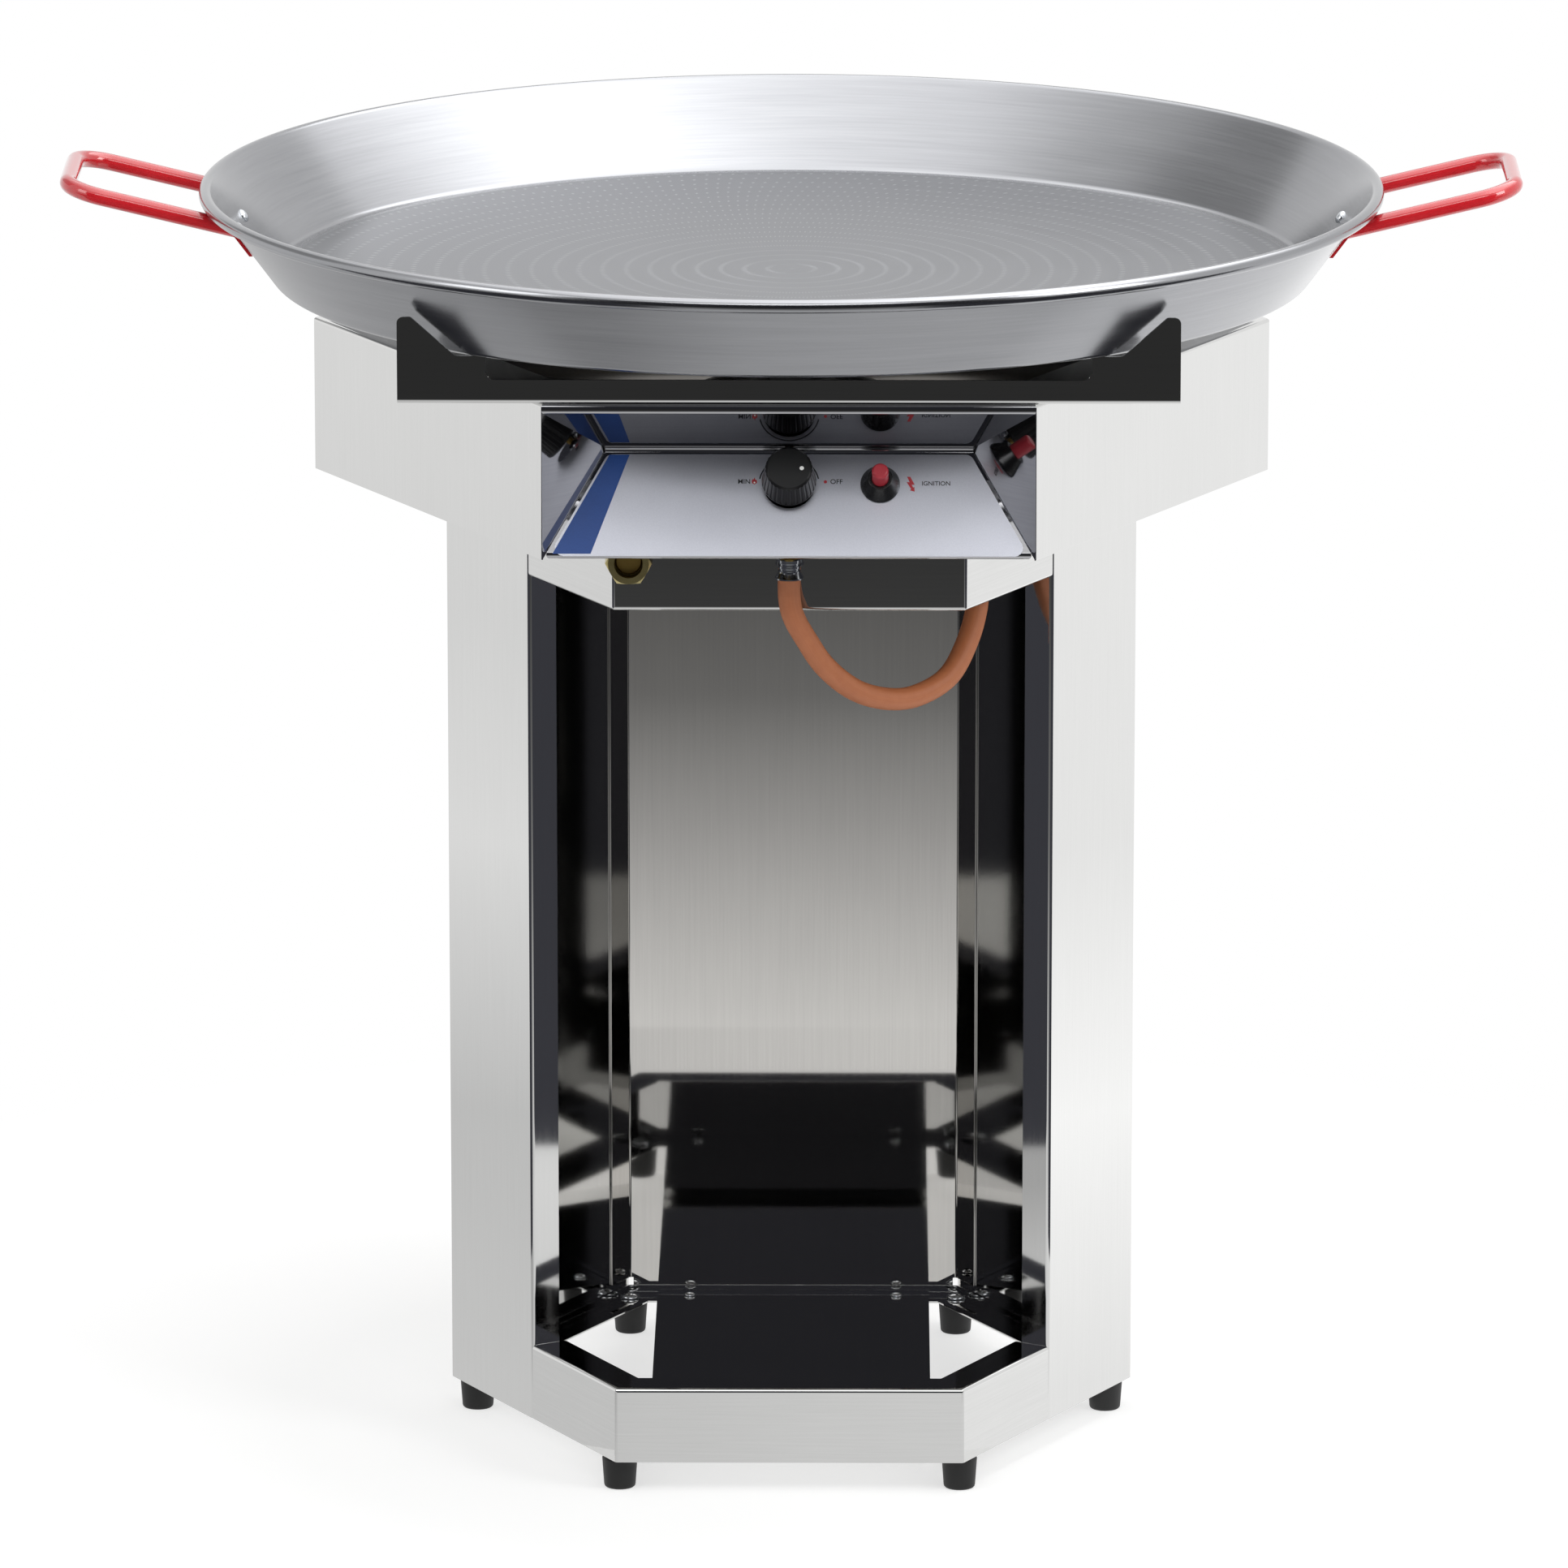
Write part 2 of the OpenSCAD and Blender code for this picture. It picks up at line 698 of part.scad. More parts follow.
// Space in front of the recess's end walls, reaching a little past the crease
module recess_space() {
    grow = 1 + 3 * sheet_t / recess_depth;
    linear_extrude(z_top) polygon([
        recess_mouth[0], recess_mouth[1],
        recess_mouth[1] + grow * (recess_mouth[2] - recess_mouth[1]),
        recess_mouth[0] + grow * (recess_mouth[3] - recess_mouth[0])
    ]);
}

module recess_cheek() {
    along = unit(recess_mouth[3] - recess_mouth[0]);
    intersection() {
        linear_extrude(z_top) polygon(concat(
            [recess_mouth[0], recess_mouth[3] + along * 2 * sheet_t],
            shifted([recess_mouth[3] + along * 2 * sheet_t, recess_mouth[0]], -sheet_t)
        ));
        face_strip(front_az, box_a, [
            [0, z_top - hem_h], [recess_depth + sheet_t, z_box + crease_h], [0, z_box]
        ], -box_side, box_side);
    }
}

module panel_hole(d) {
    translate([0, 0, -2 * bend_r]) cylinder(d = d, h = 4 * bend_r);
}

// Folded front of the burner box: top flange, hem, sloping mirror and control panel
module control_recess() {
    outline = folded(recess_path, bend_r, sheet_t);
    color("dimgray") difference() {
        union() {
            intersection() {
                face_strip(front_az, box_a, outline, -box_side, box_side);
                union() {
                    translate([-box_side, -2 * box_a, z_top - hem_h])
                        cube([2 * box_side, 2 * box_a, 2 * hem_h]);
                    recess_space();
                }
            }
            recess_cheek();
            mirror([1, 0, 0]) recess_cheek();
        }
        on_knob_axis() panel_hole(stem_hole_d);
        on_igniter_axis() panel_hole(neck_hole_d);
        on_knob_axis() for (x = [-1, 1]) translate([x * tap_ear, 0, 0]) panel_hole(screw_d + 2 * screw_gap);
    }
}

// Plate with rounded corners that carries the markings of the panel
module control_label() {
    low = bend_r;
    high = panel_len - bend_r - 1;
    function edge(rise) = box_side / 2 - cheek_inset * rise / panel_len - label_margin;
    color("whitesmoke") on_panel() translate([0, 0, fit_gap]) difference() {
        linear_extrude(label_t) polygon(rounded([
            [-edge(low), low], [edge(low), low], [edge(high), high], [-edge(high), high]
        ], label_r));
        translate([0, control_rise, -1]) cylinder(d = 2 * tap_ear + 2 * screw_d + 2, h = 3);
        translate([igniter_x, control_rise, -1]) cylinder(d = neck_hole_d, h = 3);
    }
}

// Floor of the burner box with a lip on five sides and a cut-out under the controls
module box_floor() {
    front = panel_flange + 1;
    cut_side = 6;
    cut_past = 36;
    lip = folded([[sheet_t, z_box + floor_lip], [sheet_t, z_box], [4 * bend_r, z_box]], bend_r, sheet_t);
    color("silver") difference() {
        intersection() {
            union() {
                translate([0, 0, z_box]) linear_extrude(sheet_t)
                    polygon(hexagon(box_a - sheet_t - bend_r));
                for (az = [back_right_az, back_az, back_left_az, front_left_az, front_right_az])
                    face_strip(az, box_a, lip, -box_side, box_side);
            }
            translate([-box_side, front - box_a, 0]) cube([2 * box_side, 2 * box_a, z_top]);
            translate([0, 0, z_box - 1]) linear_extrude(box_h)
                polygon(rounded(hexagon(box_a - sheet_t), bend_r));
            union() {
                linear_extrude(z_top) polygon(hexagon(box_a - 4 * bend_r));
                translate([-box_side, recess_depth + 4 - box_a, 0]) cube([2 * box_side, 2 * box_a, z_top]);
            }
        }
        translate([0, 0, z_box - 1]) cylinder(d = air_d, h = 4);
        translate([nut_x - nut_af / 2 - cut_side, -box_a, z_box - 1])
            cube([-nut_x + nut_af / 2 + cut_past, box_a - stand_a - 1.5, 4]);
        translate([burner_inlet[0], burner_inlet[1], z_box - 1]) cylinder(d = boss_d, h = 4);
        for (p = ring_spots) translate([p[0], p[1], z_box - 1]) cylinder(d = bolt_d + 2 * screw_gap, h = 4);
    }
}

module box_screws() {
    color("silver") for (p = ring_spots) translate([p[0], p[1], z_floor]) dome_screw(bolt_d, 2 * sheet_t + 6);
}

// Support strip with a flange below, a shoulder and a horn at each end
module support_strip() {
    half = support_l / 2;
    side = [
        [half, z_top + bend_r], [half, z_top + horn_h], [half - horn_top_w, z_top + horn_h],
        [half - horn_foot_w, z_top + shoulder_h], [half - notch_inset, z_top + shoulder_h],
        [half - notch_inset, z_top + notch_h]
    ];
    other = [for (p = reversed(side)) [-p[0], p[1]]];
    corners = [0, 4, 4, 4, 2, 6];
    foot = [[support_flange, z_top], [0, z_top], [0, z_top + notch_h]];
    difference() {
        union() {
            translate([0, support_t - box_a, 0]) rotate([90, 0, 0]) linear_extrude(support_t)
                polygon(rounded(concat(side, other), concat(corners, reversed(corners))));
            translate([-half, -box_a, 0]) rotate([90, 0, 90]) linear_extrude(support_l)
                polygon(folded(foot, bend_r, -support_t));
        }
        for (x = [-1, 0, 1]) translate([x * support_screw_x, support_screw_y, z_top - 1])
            cylinder(d = screw_d + 2 * screw_gap, h = 10);
    }
}

module front_support() {
    color("dimgray") support_strip();
}

module rear_support() {
    color("silver") mirror([0, 1, 0]) support_strip();
}

module support_screws() {
    color("silver") for (x = [-1, 0, 1], y = [-1, 1])
        translate([x * support_screw_x, y * support_screw_y, z_top + support_t])
            dome_screw(screw_d, support_t - screw_gap);
}

// Bar across the air opening that carries the burner
module burner_bar() {
    land = 35;
    l = air_d + 2 * land;
    w = 34;
    corner = 6;
    color("gray") translate([0, 0, z_floor]) linear_extrude(bar_t) polygon(rounded([
        [-l / 2, -w / 2], [l / 2, -w / 2], [l / 2, w / 2], [-l / 2, w / 2]
    ], corner));
}

module burner_hub() {
    foot_h = 5;
    stalk_r = 17;
    color("dimgray") difference() {
        rotate_extrude() polygon([
            [0, z_bar], [stalk_r - 2, z_bar], [stalk_r, z_bar + foot_h], [stalk_r, z_mixer - mixer_d / 2 - 4],
            [neck_d / 2, z_mixer - mixer_d / 2], [neck_d / 2, z_mixer + mixer_d / 2 + 2],
            [hub_d / 2, z_arm - arm_d / 2 - 3], [hub_d / 2, hub_top - 2],
            [hub_d / 2 - 2, hub_top], [0, hub_top]
        ]);
        for (k = [1 : arm_count]) rotate(arm_az(k)) translate([hub_d / 2 - socket_l, 0, z_arm])
            rotate([0, 90, 0]) cylinder(d = arm_d + 2 * screw_gap, h = hub_d);
        rotate(inlet_az) translate([neck_d / 2 - socket_l, 0, z_mixer])
            rotate([0, 90, 0]) cylinder(d = mixer_d + 2 * screw_gap, h = hub_d);
    }
}

function arm_az(k) = 360 / arm_count * (k - 1);

// Lid of the burner's head with a ring of ports
module burner_cap() {
    d = hub_d - 8;
    ports = 18;
    color("dimgray") translate([0, 0, hub_top]) difference() {
        cylinder(d1 = d, d2 = d - 8, h = cap_t);
        for (k = [1 : ports]) rotate(360 / ports * k) translate([d / 2 - 10, 0, -1])
            cylinder(d = port_d, h = cap_t + 2);
    }
}

// Arm of the burner: a tube closed at its end with two rows of ports
module burner_arm(k) {
    l = arm_reach - hub_d / 2 + socket_l;
    first = hub_d / 2 + port_pitch;
    end_t = 3;
    port_tilt = 40;
    ports = floor((arm_reach - first - 2 * end_t - port_d) / port_pitch);
    color("gray") rotate(arm_az(k)) difference() {
        translate([hub_d / 2 - socket_l, 0, z_arm]) rotate([0, 90, 0]) difference() {
            cylinder(d = arm_d, h = l);
            translate([0, 0, -1]) cylinder(d = arm_d - 2 * arm_wall, h = l + 1 - end_t);
        }
        for (i = [0 : ports], s = [-1, 1])
            translate([first + i * port_pitch, 0, z_arm]) rotate([s * port_tilt, 0, 0])
                cylinder(d = port_d, h = arm_d);
    }
}

// Venturi between the injector and the burner's head
module mixer_tube() {
    r = mixer_d / 2;
    throat = r - 4;
    wall = 1.5;
    outer = [[0, r], [mixer_l * 0.55, r], [mixer_l * 0.72, throat + wall], [mixer_l * 0.82, throat + wall],
        [mixer_l - 4, r + 1], [mixer_l, r + 3]];
    color("gray") rotate(inlet_az) translate([neck_d / 2 - socket_l, 0, z_mixer]) rotate([0, 90, 0])
        rotate_extrude() polygon(concat(
            [for (p = outer) [p[1], p[0]]],
            [for (p = reversed(outer)) [p[1] - wall, p[0]]]
        ));
}

// Brass elbow through the box floor that aims the gas jet into the mixer tube
module burner_inlet_elbow() {
    jet_in = 4;
    jet_l = inlet_reach - (neck_d / 2 - socket_l + mixer_l) + jet_in;
    jet_cone = 12;
    jet_tip_d = 5;
    lock_af = 24;
    lock_h = 6;
    foot_z = rear_ferrule_z + ferrule_l + fit_gap;
    color("goldenrod") rotate(inlet_az) translate([inlet_reach, 0, 0]) {
        translate([0, 0, z_floor + fit_gap]) hex_bar(lock_af, lock_h);
        translate([0, 0, foot_z]) cylinder(d = boss_d - 4, h = z_mixer - foot_z);
        translate([0, 0, z_mixer]) {
            sphere(d = boss_d - 2);
            rotate([0, -90, 0]) cylinder(d = boss_d - 4, h = jet_l - jet_cone);
            rotate([0, -90, 0]) cylinder(d1 = boss_d - 4, d2 = jet_tip_d, h = jet_l);
        }
    }
}

// Angle plate that holds the spark electrode and the thermocouple
module electrode_bracket() {
    w = 44;
    reach = 9;
    foot_w = 17;
    color("silver") translate([(electrode_x + sensor_x) / 2, sensor_y, 0]) difference() {
        translate([-w / 2, 0, 0]) rotate([90, 0, 90]) linear_extrude(w) polygon(folded([
            [-reach, sensor_z], [reach, sensor_z], [reach, z_floor], [reach + foot_w, z_floor]
        ], bend_r, bracket_t));
        for (x = [-1, 1]) translate([x * (electrode_x - sensor_x) / 2, 0, sensor_z - 5])
            cylinder(d = ceramic_d + 2 * screw_gap, h = 10);
    }
}

// Way of a lead from the end of a piece behind the panel to a piece on the bracket
function lead_way(back, to) =
    let (
        out = [0, sin(panel_tilt), -cos(panel_tilt)],
        a = back + 2 * slide_gap * out,
        p = back + lead_out * out,
        q = [back[0], p[1] + lead_run, p[2] - 1],
        b = to - [0, 0, 2 * slide_gap]
    )
    [a, p, q, [b[0], b[1] - lead_out, q[2]], [b[0], b[1], q[2] + lead_out], b];

// Ceramic spark electrode with a bent wire at its tip
module spark_electrode() {
    wire_d = 2.4;
    ceramic_l = 34;
    wire_rise = 10;
    wire_l = 17;
    bend = electrode_foot + [0, 0, ceramic_l + wire_rise];
    color("white") {
        translate(electrode_foot) cylinder(d = ceramic_d, h = ceramic_l);
        translate([electrode_x, sensor_y, flange_z]) cylinder(d = ceramic_d + 4, h = sensor_flange_t);
        translate(electrode_foot + [0, 0, ceramic_l - 1]) cylinder(d = wire_d, h = wire_rise + 1);
        translate(bend) sphere(d = wire_d);
        aim(bend, unit([8, 14, 6])) cylinder(d = wire_d, h = wire_l);
    }
}

module ignition_lead() {
    color("black") swept(lead_way([igniter_x, 0, 0] + on_axis(-igniter_l), electrode_foot), lead_d, 8);
}

module thermocouple() {
    probe_d = 6;
    probe_l = 46;
    color("peru") {
        translate(sensor_foot) cylinder(d = probe_d, h = probe_l);
        translate([sensor_x, sensor_y, flange_z]) cylinder(d = probe_d + 4, h = sensor_flange_t);
    }
}

module thermocouple_lead() {
    color("peru") swept(lead_way(on_axis(tap_z1 - magnet_l), sensor_foot), sensor_lead_d, 8);
}

// Brass tap behind the panel with bosses for the inlet and the outlet
module tap_body() {
    gas_way_d = 5;
    color("goldenrod") difference() {
        union() {
            on_knob_axis() translate([0, 0, tap_z1]) cylinder(d = tap_d, h = tap_z0 - tap_z1);
            on_knob_axis() translate([0, 0, tap_z1 - magnet_l]) cylinder(d = magnet_d, h = magnet_l + 1);
            translate([0, outlet_at[1], outlet_z]) cylinder(d = boss_d, h = outlet_at[2] - outlet_z);
            translate([-boss_l, inlet_at[1], inlet_at[2]]) rotate([0, 90, 0])
                cylinder(d = boss_d - 2, h = boss_l);
        }
        on_knob_axis() translate([0, 0, plug_z1 - plug_l - 1])
            cylinder(d = plug_d + 2 * run_gap, h = plug_l + 5);
        translate([0, outlet_at[1], outlet_z - 1]) cylinder(d = gas_way_d, h = outlet_at[2] - outlet_z + 1);
        on_knob_axis() for (x = [-1, 1]) translate([x * tap_ear, 0, tap_z0 - 6])
            cylinder(d = screw_d + 2 * screw_gap, h = bonnet_l);
    }
}

// Cap that keeps the plug in the tap and bolts it to the panel
module tap_bonnet() {
    ear_t = 3;
    ear_r = 6;
    color("goldenrod") on_knob_axis() difference() {
        union() {
            translate([0, 0, tap_z0]) cylinder(d = tap_d - 6, h = bonnet_l);
            translate([0, 0, panel_back - ear_t]) linear_extrude(ear_t) polygon(rounded([
                [-tap_ear - ear_r, -ear_r], [tap_ear + ear_r, -ear_r],
                [tap_ear + ear_r, ear_r], [-tap_ear - ear_r, ear_r]
            ], ear_r - 1));
        }
        translate([0, 0, tap_z0 - 1]) cylinder(d = stem_d + 2 * slide_gap, h = bonnet_l + 2);
        for (x = [-1, 1]) translate([x * tap_ear, 0, tap_z0 - 1])
            cylinder(d = screw_d + 2 * screw_gap, h = bonnet_l + 2);
    }
}

module tap_screws() {
    color("silver") on_knob_axis() for (x = [-1, 1])
        translate([x * tap_ear, 0, fit_gap]) dome_screw(screw_d, sheet_t + bonnet_l + 5);
}

// Section of the stem, with one flat that turns the plug
module stem_section(gap) {
    d = stem_d + 2 * gap;
    intersection() {
        circle(d = d);
        translate([-d, -d]) square([2 * d, d + stem_d * 0.3 + gap]);
    }
}

// Plug that turns in the tap, with a gas way and a socket for the stem
module tap_plug() {
    color("khaki") on_knob_axis() difference() {
        translate([0, 0, plug_z1 - plug_l]) cylinder(d = plug_d, h = plug_l);
        translate([0, 0, plug_z1 - stem_bore_l]) linear_extrude(stem_bore_l + 1) stem_section(slide_gap);
    }
}

module tap_stem() {
    color("goldenrod") on_knob_axis() translate([0, 0, stem_z0])
        linear_extrude(stem_z1 - stem_z0) stem_section(0);
}

// Fluted knob, hollow below, with a socket for the stem
module control_knob() {
    top_r = knob_top_d / 2;
    foot_r = knob_d / 2;
    lean = atan((foot_r - top_r) / knob_h);
    color("black") on_knob_axis() translate([0, 0, knob_z0]) difference() {
        rotate_extrude() polygon([
            [0, 0], [foot_r - 1, 0], [foot_r, 1], [top_r, knob_h - 1.5], [top_r - 1.5, knob_h], [0, knob_h]
        ]);
        difference() {
            translate([0, 0, -1]) cylinder(d = knob_d - 8, h = 6);
            translate([0, 0, -2]) cylinder(d = stem_d + 7, h = 8);
        }
        translate([0, 0, -1]) linear_extrude(stem_z1 - knob_z0 + 1) stem_section(run_gap);
        for (k = [0 : flutes - 1]) rotate(360 / flutes * k)
            translate([foot_r + 0.5, 0, 2]) rotate([0, -lean, 0]) cylinder(d = 2.4, h = knob_h);
    }
}

// Threaded nozzle under the tap that carries the hose
module outlet_nozzle() {
    color("goldenrod") translate([0, outlet_at[1], 0]) {
        translate([0, 0, outlet_z - nozzle_hex_l]) hex_bar(boss_d - 1, nozzle_hex_l);
        translate([0, 0, ferrule_z]) cylinder(d = ferrule_d - 3, h = outlet_z - nozzle_hex_l - ferrule_z);
    }
}

// Crimped ferrule with a lip that takes the end of the hose
module ferrule() {
    lip_h = hose_seat + 1;
    difference() {
        union() {
            translate([0, 0, lip_h - 0.5]) cylinder(d = ferrule_d, h = ferrule_l - lip_h + 0.5);
            cylinder(d1 = ferrule_lip_d, d2 = ferrule_d, h = lip_h);
        }
        translate([0, 0, -1]) cylinder(d = hose_d + 2 * slide_gap, h = hose_seat + 1);
    }
}

module front_ferrule() {
    color("silver") translate([0, outlet_at[1], ferrule_z - ferrule_l]) ferrule();
}

module rear_ferrule() {
    color("silver") translate([burner_inlet[0], burner_inlet[1], rear_ferrule_z]) ferrule();
}

module gas_hose() {
    color("peru") swept(hose_route, hose_d, 12);
}

// Bent pipe from the tap to the front, with a seat for the union
module inlet_pipe() {
    color("goldenrod") {
        rod([
            [-boss_l, inlet_at[1], inlet_at[2]], [nut_x, inlet_at[1], inlet_at[2]],
            [nut_x, inlet_at[1], nut_z], [nut_x, tail_y1, nut_z]
        ], pipe_d, pipe_bend);
        translate([nut_x, tail_y1, nut_z]) rotate([90, 0, 0]) {
            cylinder(d = tail_d, h = tail_l + seat_l);
            translate([0, 0, tail_l]) cylinder(d1 = nut_bore - 2 * slide_gap, d2 = nut_bore - 3, h = seat_l);
        }
    }
}

// Swivel nut of the gas inlet, threaded at the front and held behind the pipe's seat
module inlet_nut() {
    color("darkkhaki") translate([nut_x, nut_y0 + nut_l, nut_z]) rotate([90, 0, 0]) difference() {
        intersection() {
            hex_bar(nut_af, nut_l);
            rotate_extrude() polygon([
                [0, 0], [nut_af * 0.5, 0], [nut_af * 0.58, 2.5],
                [nut_af * 0.58, nut_l - 2.5], [nut_af * 0.5, nut_l], [0, nut_l]
            ]);
        }
        translate([0, 0, nut_l - thread_l]) cylinder(d = nut_bore, h = thread_l + 1);
        translate([0, 0, nut_l - thread_l]) cylinder(d = nut_bore + 1, h = undercut_l);
        translate([0, 0, -1]) cylinder(d = tail_d + 2 * run_gap, h = nut_l);
    }
}

// Igniter behind the panel with a neck through it
module igniter_body() {
    d = neck_hole_d - 1;
    color("black") on_igniter_axis() difference() {
        union() {
            translate([0, 0, panel_back - 1]) cylinder(d = d, h = sheet_t + label_t + 1);
            translate([0, 0, -igniter_l]) cylinder(d = collar_d - 4, h = igniter_l + panel_back);
        }
        translate([0, 0, -igniter_bore_l]) cylinder(d = button_d + 2 * slide_gap, h = igniter_bore_l + 2);
    }
}

// Cone-shaped collar on the panel
module igniter_collar() {
    color("black") on_igniter_axis() translate([0, 0, label_t + 2 * fit_gap]) difference() {
        rotate_extrude() polygon([
            [0, 0], [collar_d / 2, 0], [collar_d / 2, 1.5], [button_d / 2 + 2.5, collar_h], [0, collar_h]
        ]);
        translate([0, 0, -1]) cylinder(d = button_d + 2 * slide_gap, h = collar_h + 2);
    }
}

module igniter_button() {
    foot_z = button_travel + 1 - igniter_bore_l;
    color("crimson") on_igniter_axis() translate([0, 0, foot_z]) rotate_extrude() polygon([
        [0, 0], [button_d / 2, 0], [button_d / 2, button_h - foot_z - 1.2],
        [button_d / 2 - 1.2, button_h - foot_z], [0, button_h - foot_z]
    ]);
}

// Rivet axes of both handles, square to the pan's wall
module at_rivets(sides) {
    for (s = sides, k = [-1, 1]) rotate(90 - s * 90 + k * rivet_az)
        translate([wall_r(rivet_z), 0, z_pan + rivet_z]) rotate([0, 180 - wall_angle, 0]) children();
}

// Section of the pan: the sheet, with the rolled rim as an arc at its end
function pan_outline() =
    let (
        r = bead_d / 2,
        skin = bent(pan_wall, knuckle_r),
        q = shifted(skin, pan_t),
        from = atan2(pan_wall[2][1] - bead_c[1], pan_wall[2][0] - bead_c[0]),
        to = 90 + wall_angle,
        turns = 20
    )
    concat(
        skin,
        [for (i = [1 : turns]) let (th = from + (to - from) * i / turns) bead_c + r * [cos(th), sin(th)]],
        [for (i = [len(q) - 2 : -1 : 0]) q[i]]
    );

// Pan with a flat bottom, a sloping wall and a rolled rim
module pan_bowl() {
    color("silver") difference() {
        translate([0, 0, z_pan]) rotate(90) rotate_extrude($fn = 128) polygon(pan_outline());
        at_rivets([-1, 1]) rivet_hole();
    }
}

module rivet_hole() {
    translate([0, 0, -2 * knuckle_r]) cylinder(d = rivet_d + 2 * screw_gap, h = 4 * knuckle_r);
}

// Loop of a handle's rod in its own plane, from x = 0 out to its end
module handle_loop(l) {
    half = handle_w / 2;
    run = l - handle_bend;
    for (s = [-1, 1]) {
        translate([0, s * half, 0]) rotate([0, 90, 0]) cylinder(d = rod_d, h = run);
        translate([run, s * (half - handle_bend), 0]) rotate(s < 0 ? -90 : 0)
            rotate_extrude(angle = 90) translate([handle_bend, 0]) circle(d = rod_d);
    }
    translate([l, handle_bend - half, 0]) rotate([-90, 0, 0])
        cylinder(d = rod_d, h = handle_w - 2 * handle_bend);
}

// Bent rod welded to a strap that lies against the pan's wall
module handle() {
    reach = pan_d / 2 + handle_reach - rod_d / 2;
    half = handle_w / 2;
    root = sqrt(pow(wall_r(strap_z0), 2) - half * half);
    drop = (bead_c[0] - root) * tan(handle_rise);
    spread = asin((half + rod_d / 2) / wall_r(strap_z1));
    difference() {
        union() {
            difference() {
                translate([root, 0, z_pan + bead_c[1] - rod_drop - drop]) rotate([0, -handle_rise, 0])
                    handle_loop((reach - root) / cos(handle_rise));
                translate([0, 0, z_pan]) rotate(90) cylinder(
                    r1 = wall_r(0) + wall_gap + strap_t / 2,
                    r2 = wall_r(pan_h) + wall_gap + strap_t / 2,
                    h = pan_h, $fn = 128
                );
            }
            rotate(-spread) translate([0, 0, z_pan]) rotate_extrude(angle = 2 * spread, $fn = 128) polygon([
                [wall_r(strap_z0) + wall_gap, strap_z0], [wall_r(strap_z0) + wall_gap + strap_t, strap_z0],
                [wall_r(strap_z1) + wall_gap + strap_t, strap_z1], [wall_r(strap_z1) + wall_gap, strap_z1]
            ]);
        }
        at_rivets([1]) rivet_hole();
    }
}

module right_handle() {
    color("firebrick") handle();
}

module left_handle() {
    color("firebrick") mirror([1, 0, 0]) handle();
}

// Rivets with a domed head inside the pan and an upset end outside
module handle_rivets() {
    inner = pan_t + fit_gap;
    outer = (wall_gap + strap_t) * sin(wall_angle) + fit_gap;
    color("silver") at_rivets([-1, 1]) {
        translate([0, 0, -inner]) mirror([0, 0, 1]) dome_screw(rivet_d * 0.83, 0);
        translate([0, 0, -inner]) cylinder(d = rivet_d, h = inner + outer);
        translate([0, 0, outer]) cylinder(d1 = 1.5 * rivet_d, d2 = rivet_d, h = 2);
    }
}

left_side_panel();
right_side_panel();
back_panel();
front_rim();
front_collar();
base_ring();
top_ring();
floor_plate();
floor_plate_screws();
for (k = [1 : 6]) foot(k);
foot_bolts();
burner_box_wall();
control_recess();
control_label();
box_floor();
box_screws();
front_support();
rear_support();
support_screws();
burner_bar();
burner_hub();
burner_cap();
for (k = [1 : arm_count]) burner_arm(k);
mixer_tube();
burner_inlet_elbow();
electrode_bracket();
spark_electrode();
ignition_lead();
thermocouple();
thermocouple_lead();
tap_body();
tap_bonnet();
tap_screws();
tap_plug();
tap_stem();
control_knob();
outlet_nozzle();
front_ferrule();
gas_hose();
rear_ferrule();
inlet_pipe();
inlet_nut();
igniter_body();
igniter_collar();
igniter_button();
pan_bowl();
left_handle();
right_handle();
handle_rivets();
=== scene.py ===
"""Looks of a gas paella burner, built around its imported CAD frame.

Every piece is in metres, in the frame of the CAD part: +Z up, the controls towards -Y, the origin on the
floor under the middle of the stand. Each sub-assembly is a class that builds its own pieces and dresses them.
"""

from __future__ import annotations

import logging
import math
from contextlib import contextmanager
from dataclasses import dataclass, field
from enum import Enum
from typing import Any, Callable, Iterator, Sequence

import bpy
from mathutils import Matrix, Vector

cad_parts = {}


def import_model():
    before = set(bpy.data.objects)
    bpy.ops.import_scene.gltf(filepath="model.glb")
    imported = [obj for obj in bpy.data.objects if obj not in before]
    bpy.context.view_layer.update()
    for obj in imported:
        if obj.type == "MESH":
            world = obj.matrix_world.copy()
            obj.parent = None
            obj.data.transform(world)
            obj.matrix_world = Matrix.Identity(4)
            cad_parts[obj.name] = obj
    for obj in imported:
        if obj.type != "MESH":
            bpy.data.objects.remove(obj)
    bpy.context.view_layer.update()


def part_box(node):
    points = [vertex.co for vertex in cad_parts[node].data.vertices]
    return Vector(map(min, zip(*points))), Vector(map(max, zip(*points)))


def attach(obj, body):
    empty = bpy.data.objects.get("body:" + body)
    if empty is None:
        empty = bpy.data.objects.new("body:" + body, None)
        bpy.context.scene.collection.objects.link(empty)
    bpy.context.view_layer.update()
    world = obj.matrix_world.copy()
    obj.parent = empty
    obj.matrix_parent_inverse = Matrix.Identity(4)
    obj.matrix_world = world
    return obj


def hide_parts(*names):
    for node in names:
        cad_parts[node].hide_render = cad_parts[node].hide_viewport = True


LOG = logging.getLogger("paella_burner")
MM = 0.001
MM_PER_M = 1000.0
WHITE = "#ffffff"
ROOM_TINT = "#e9ebff"
# Edges sharper than these angles, in degrees, stay edges on folded sheet, turned pieces and bent leads.
FOLD_ANGLE = 32.0
TURN_ANGLE = 40.0
BEND_ANGLE = 60.0
Pair = tuple[float, float]
Point = tuple[float, float, float]


class Axis(Enum):
    """Direction that a grain runs along, as the stretch of its pattern on X, Y and Z."""

    EVEN = (1.0, 1.0, 1.0)
    UPRIGHT = (1.0, 1.0, 0.02)
    SIDEWAYS = (0.02, 0.02, 1.0)


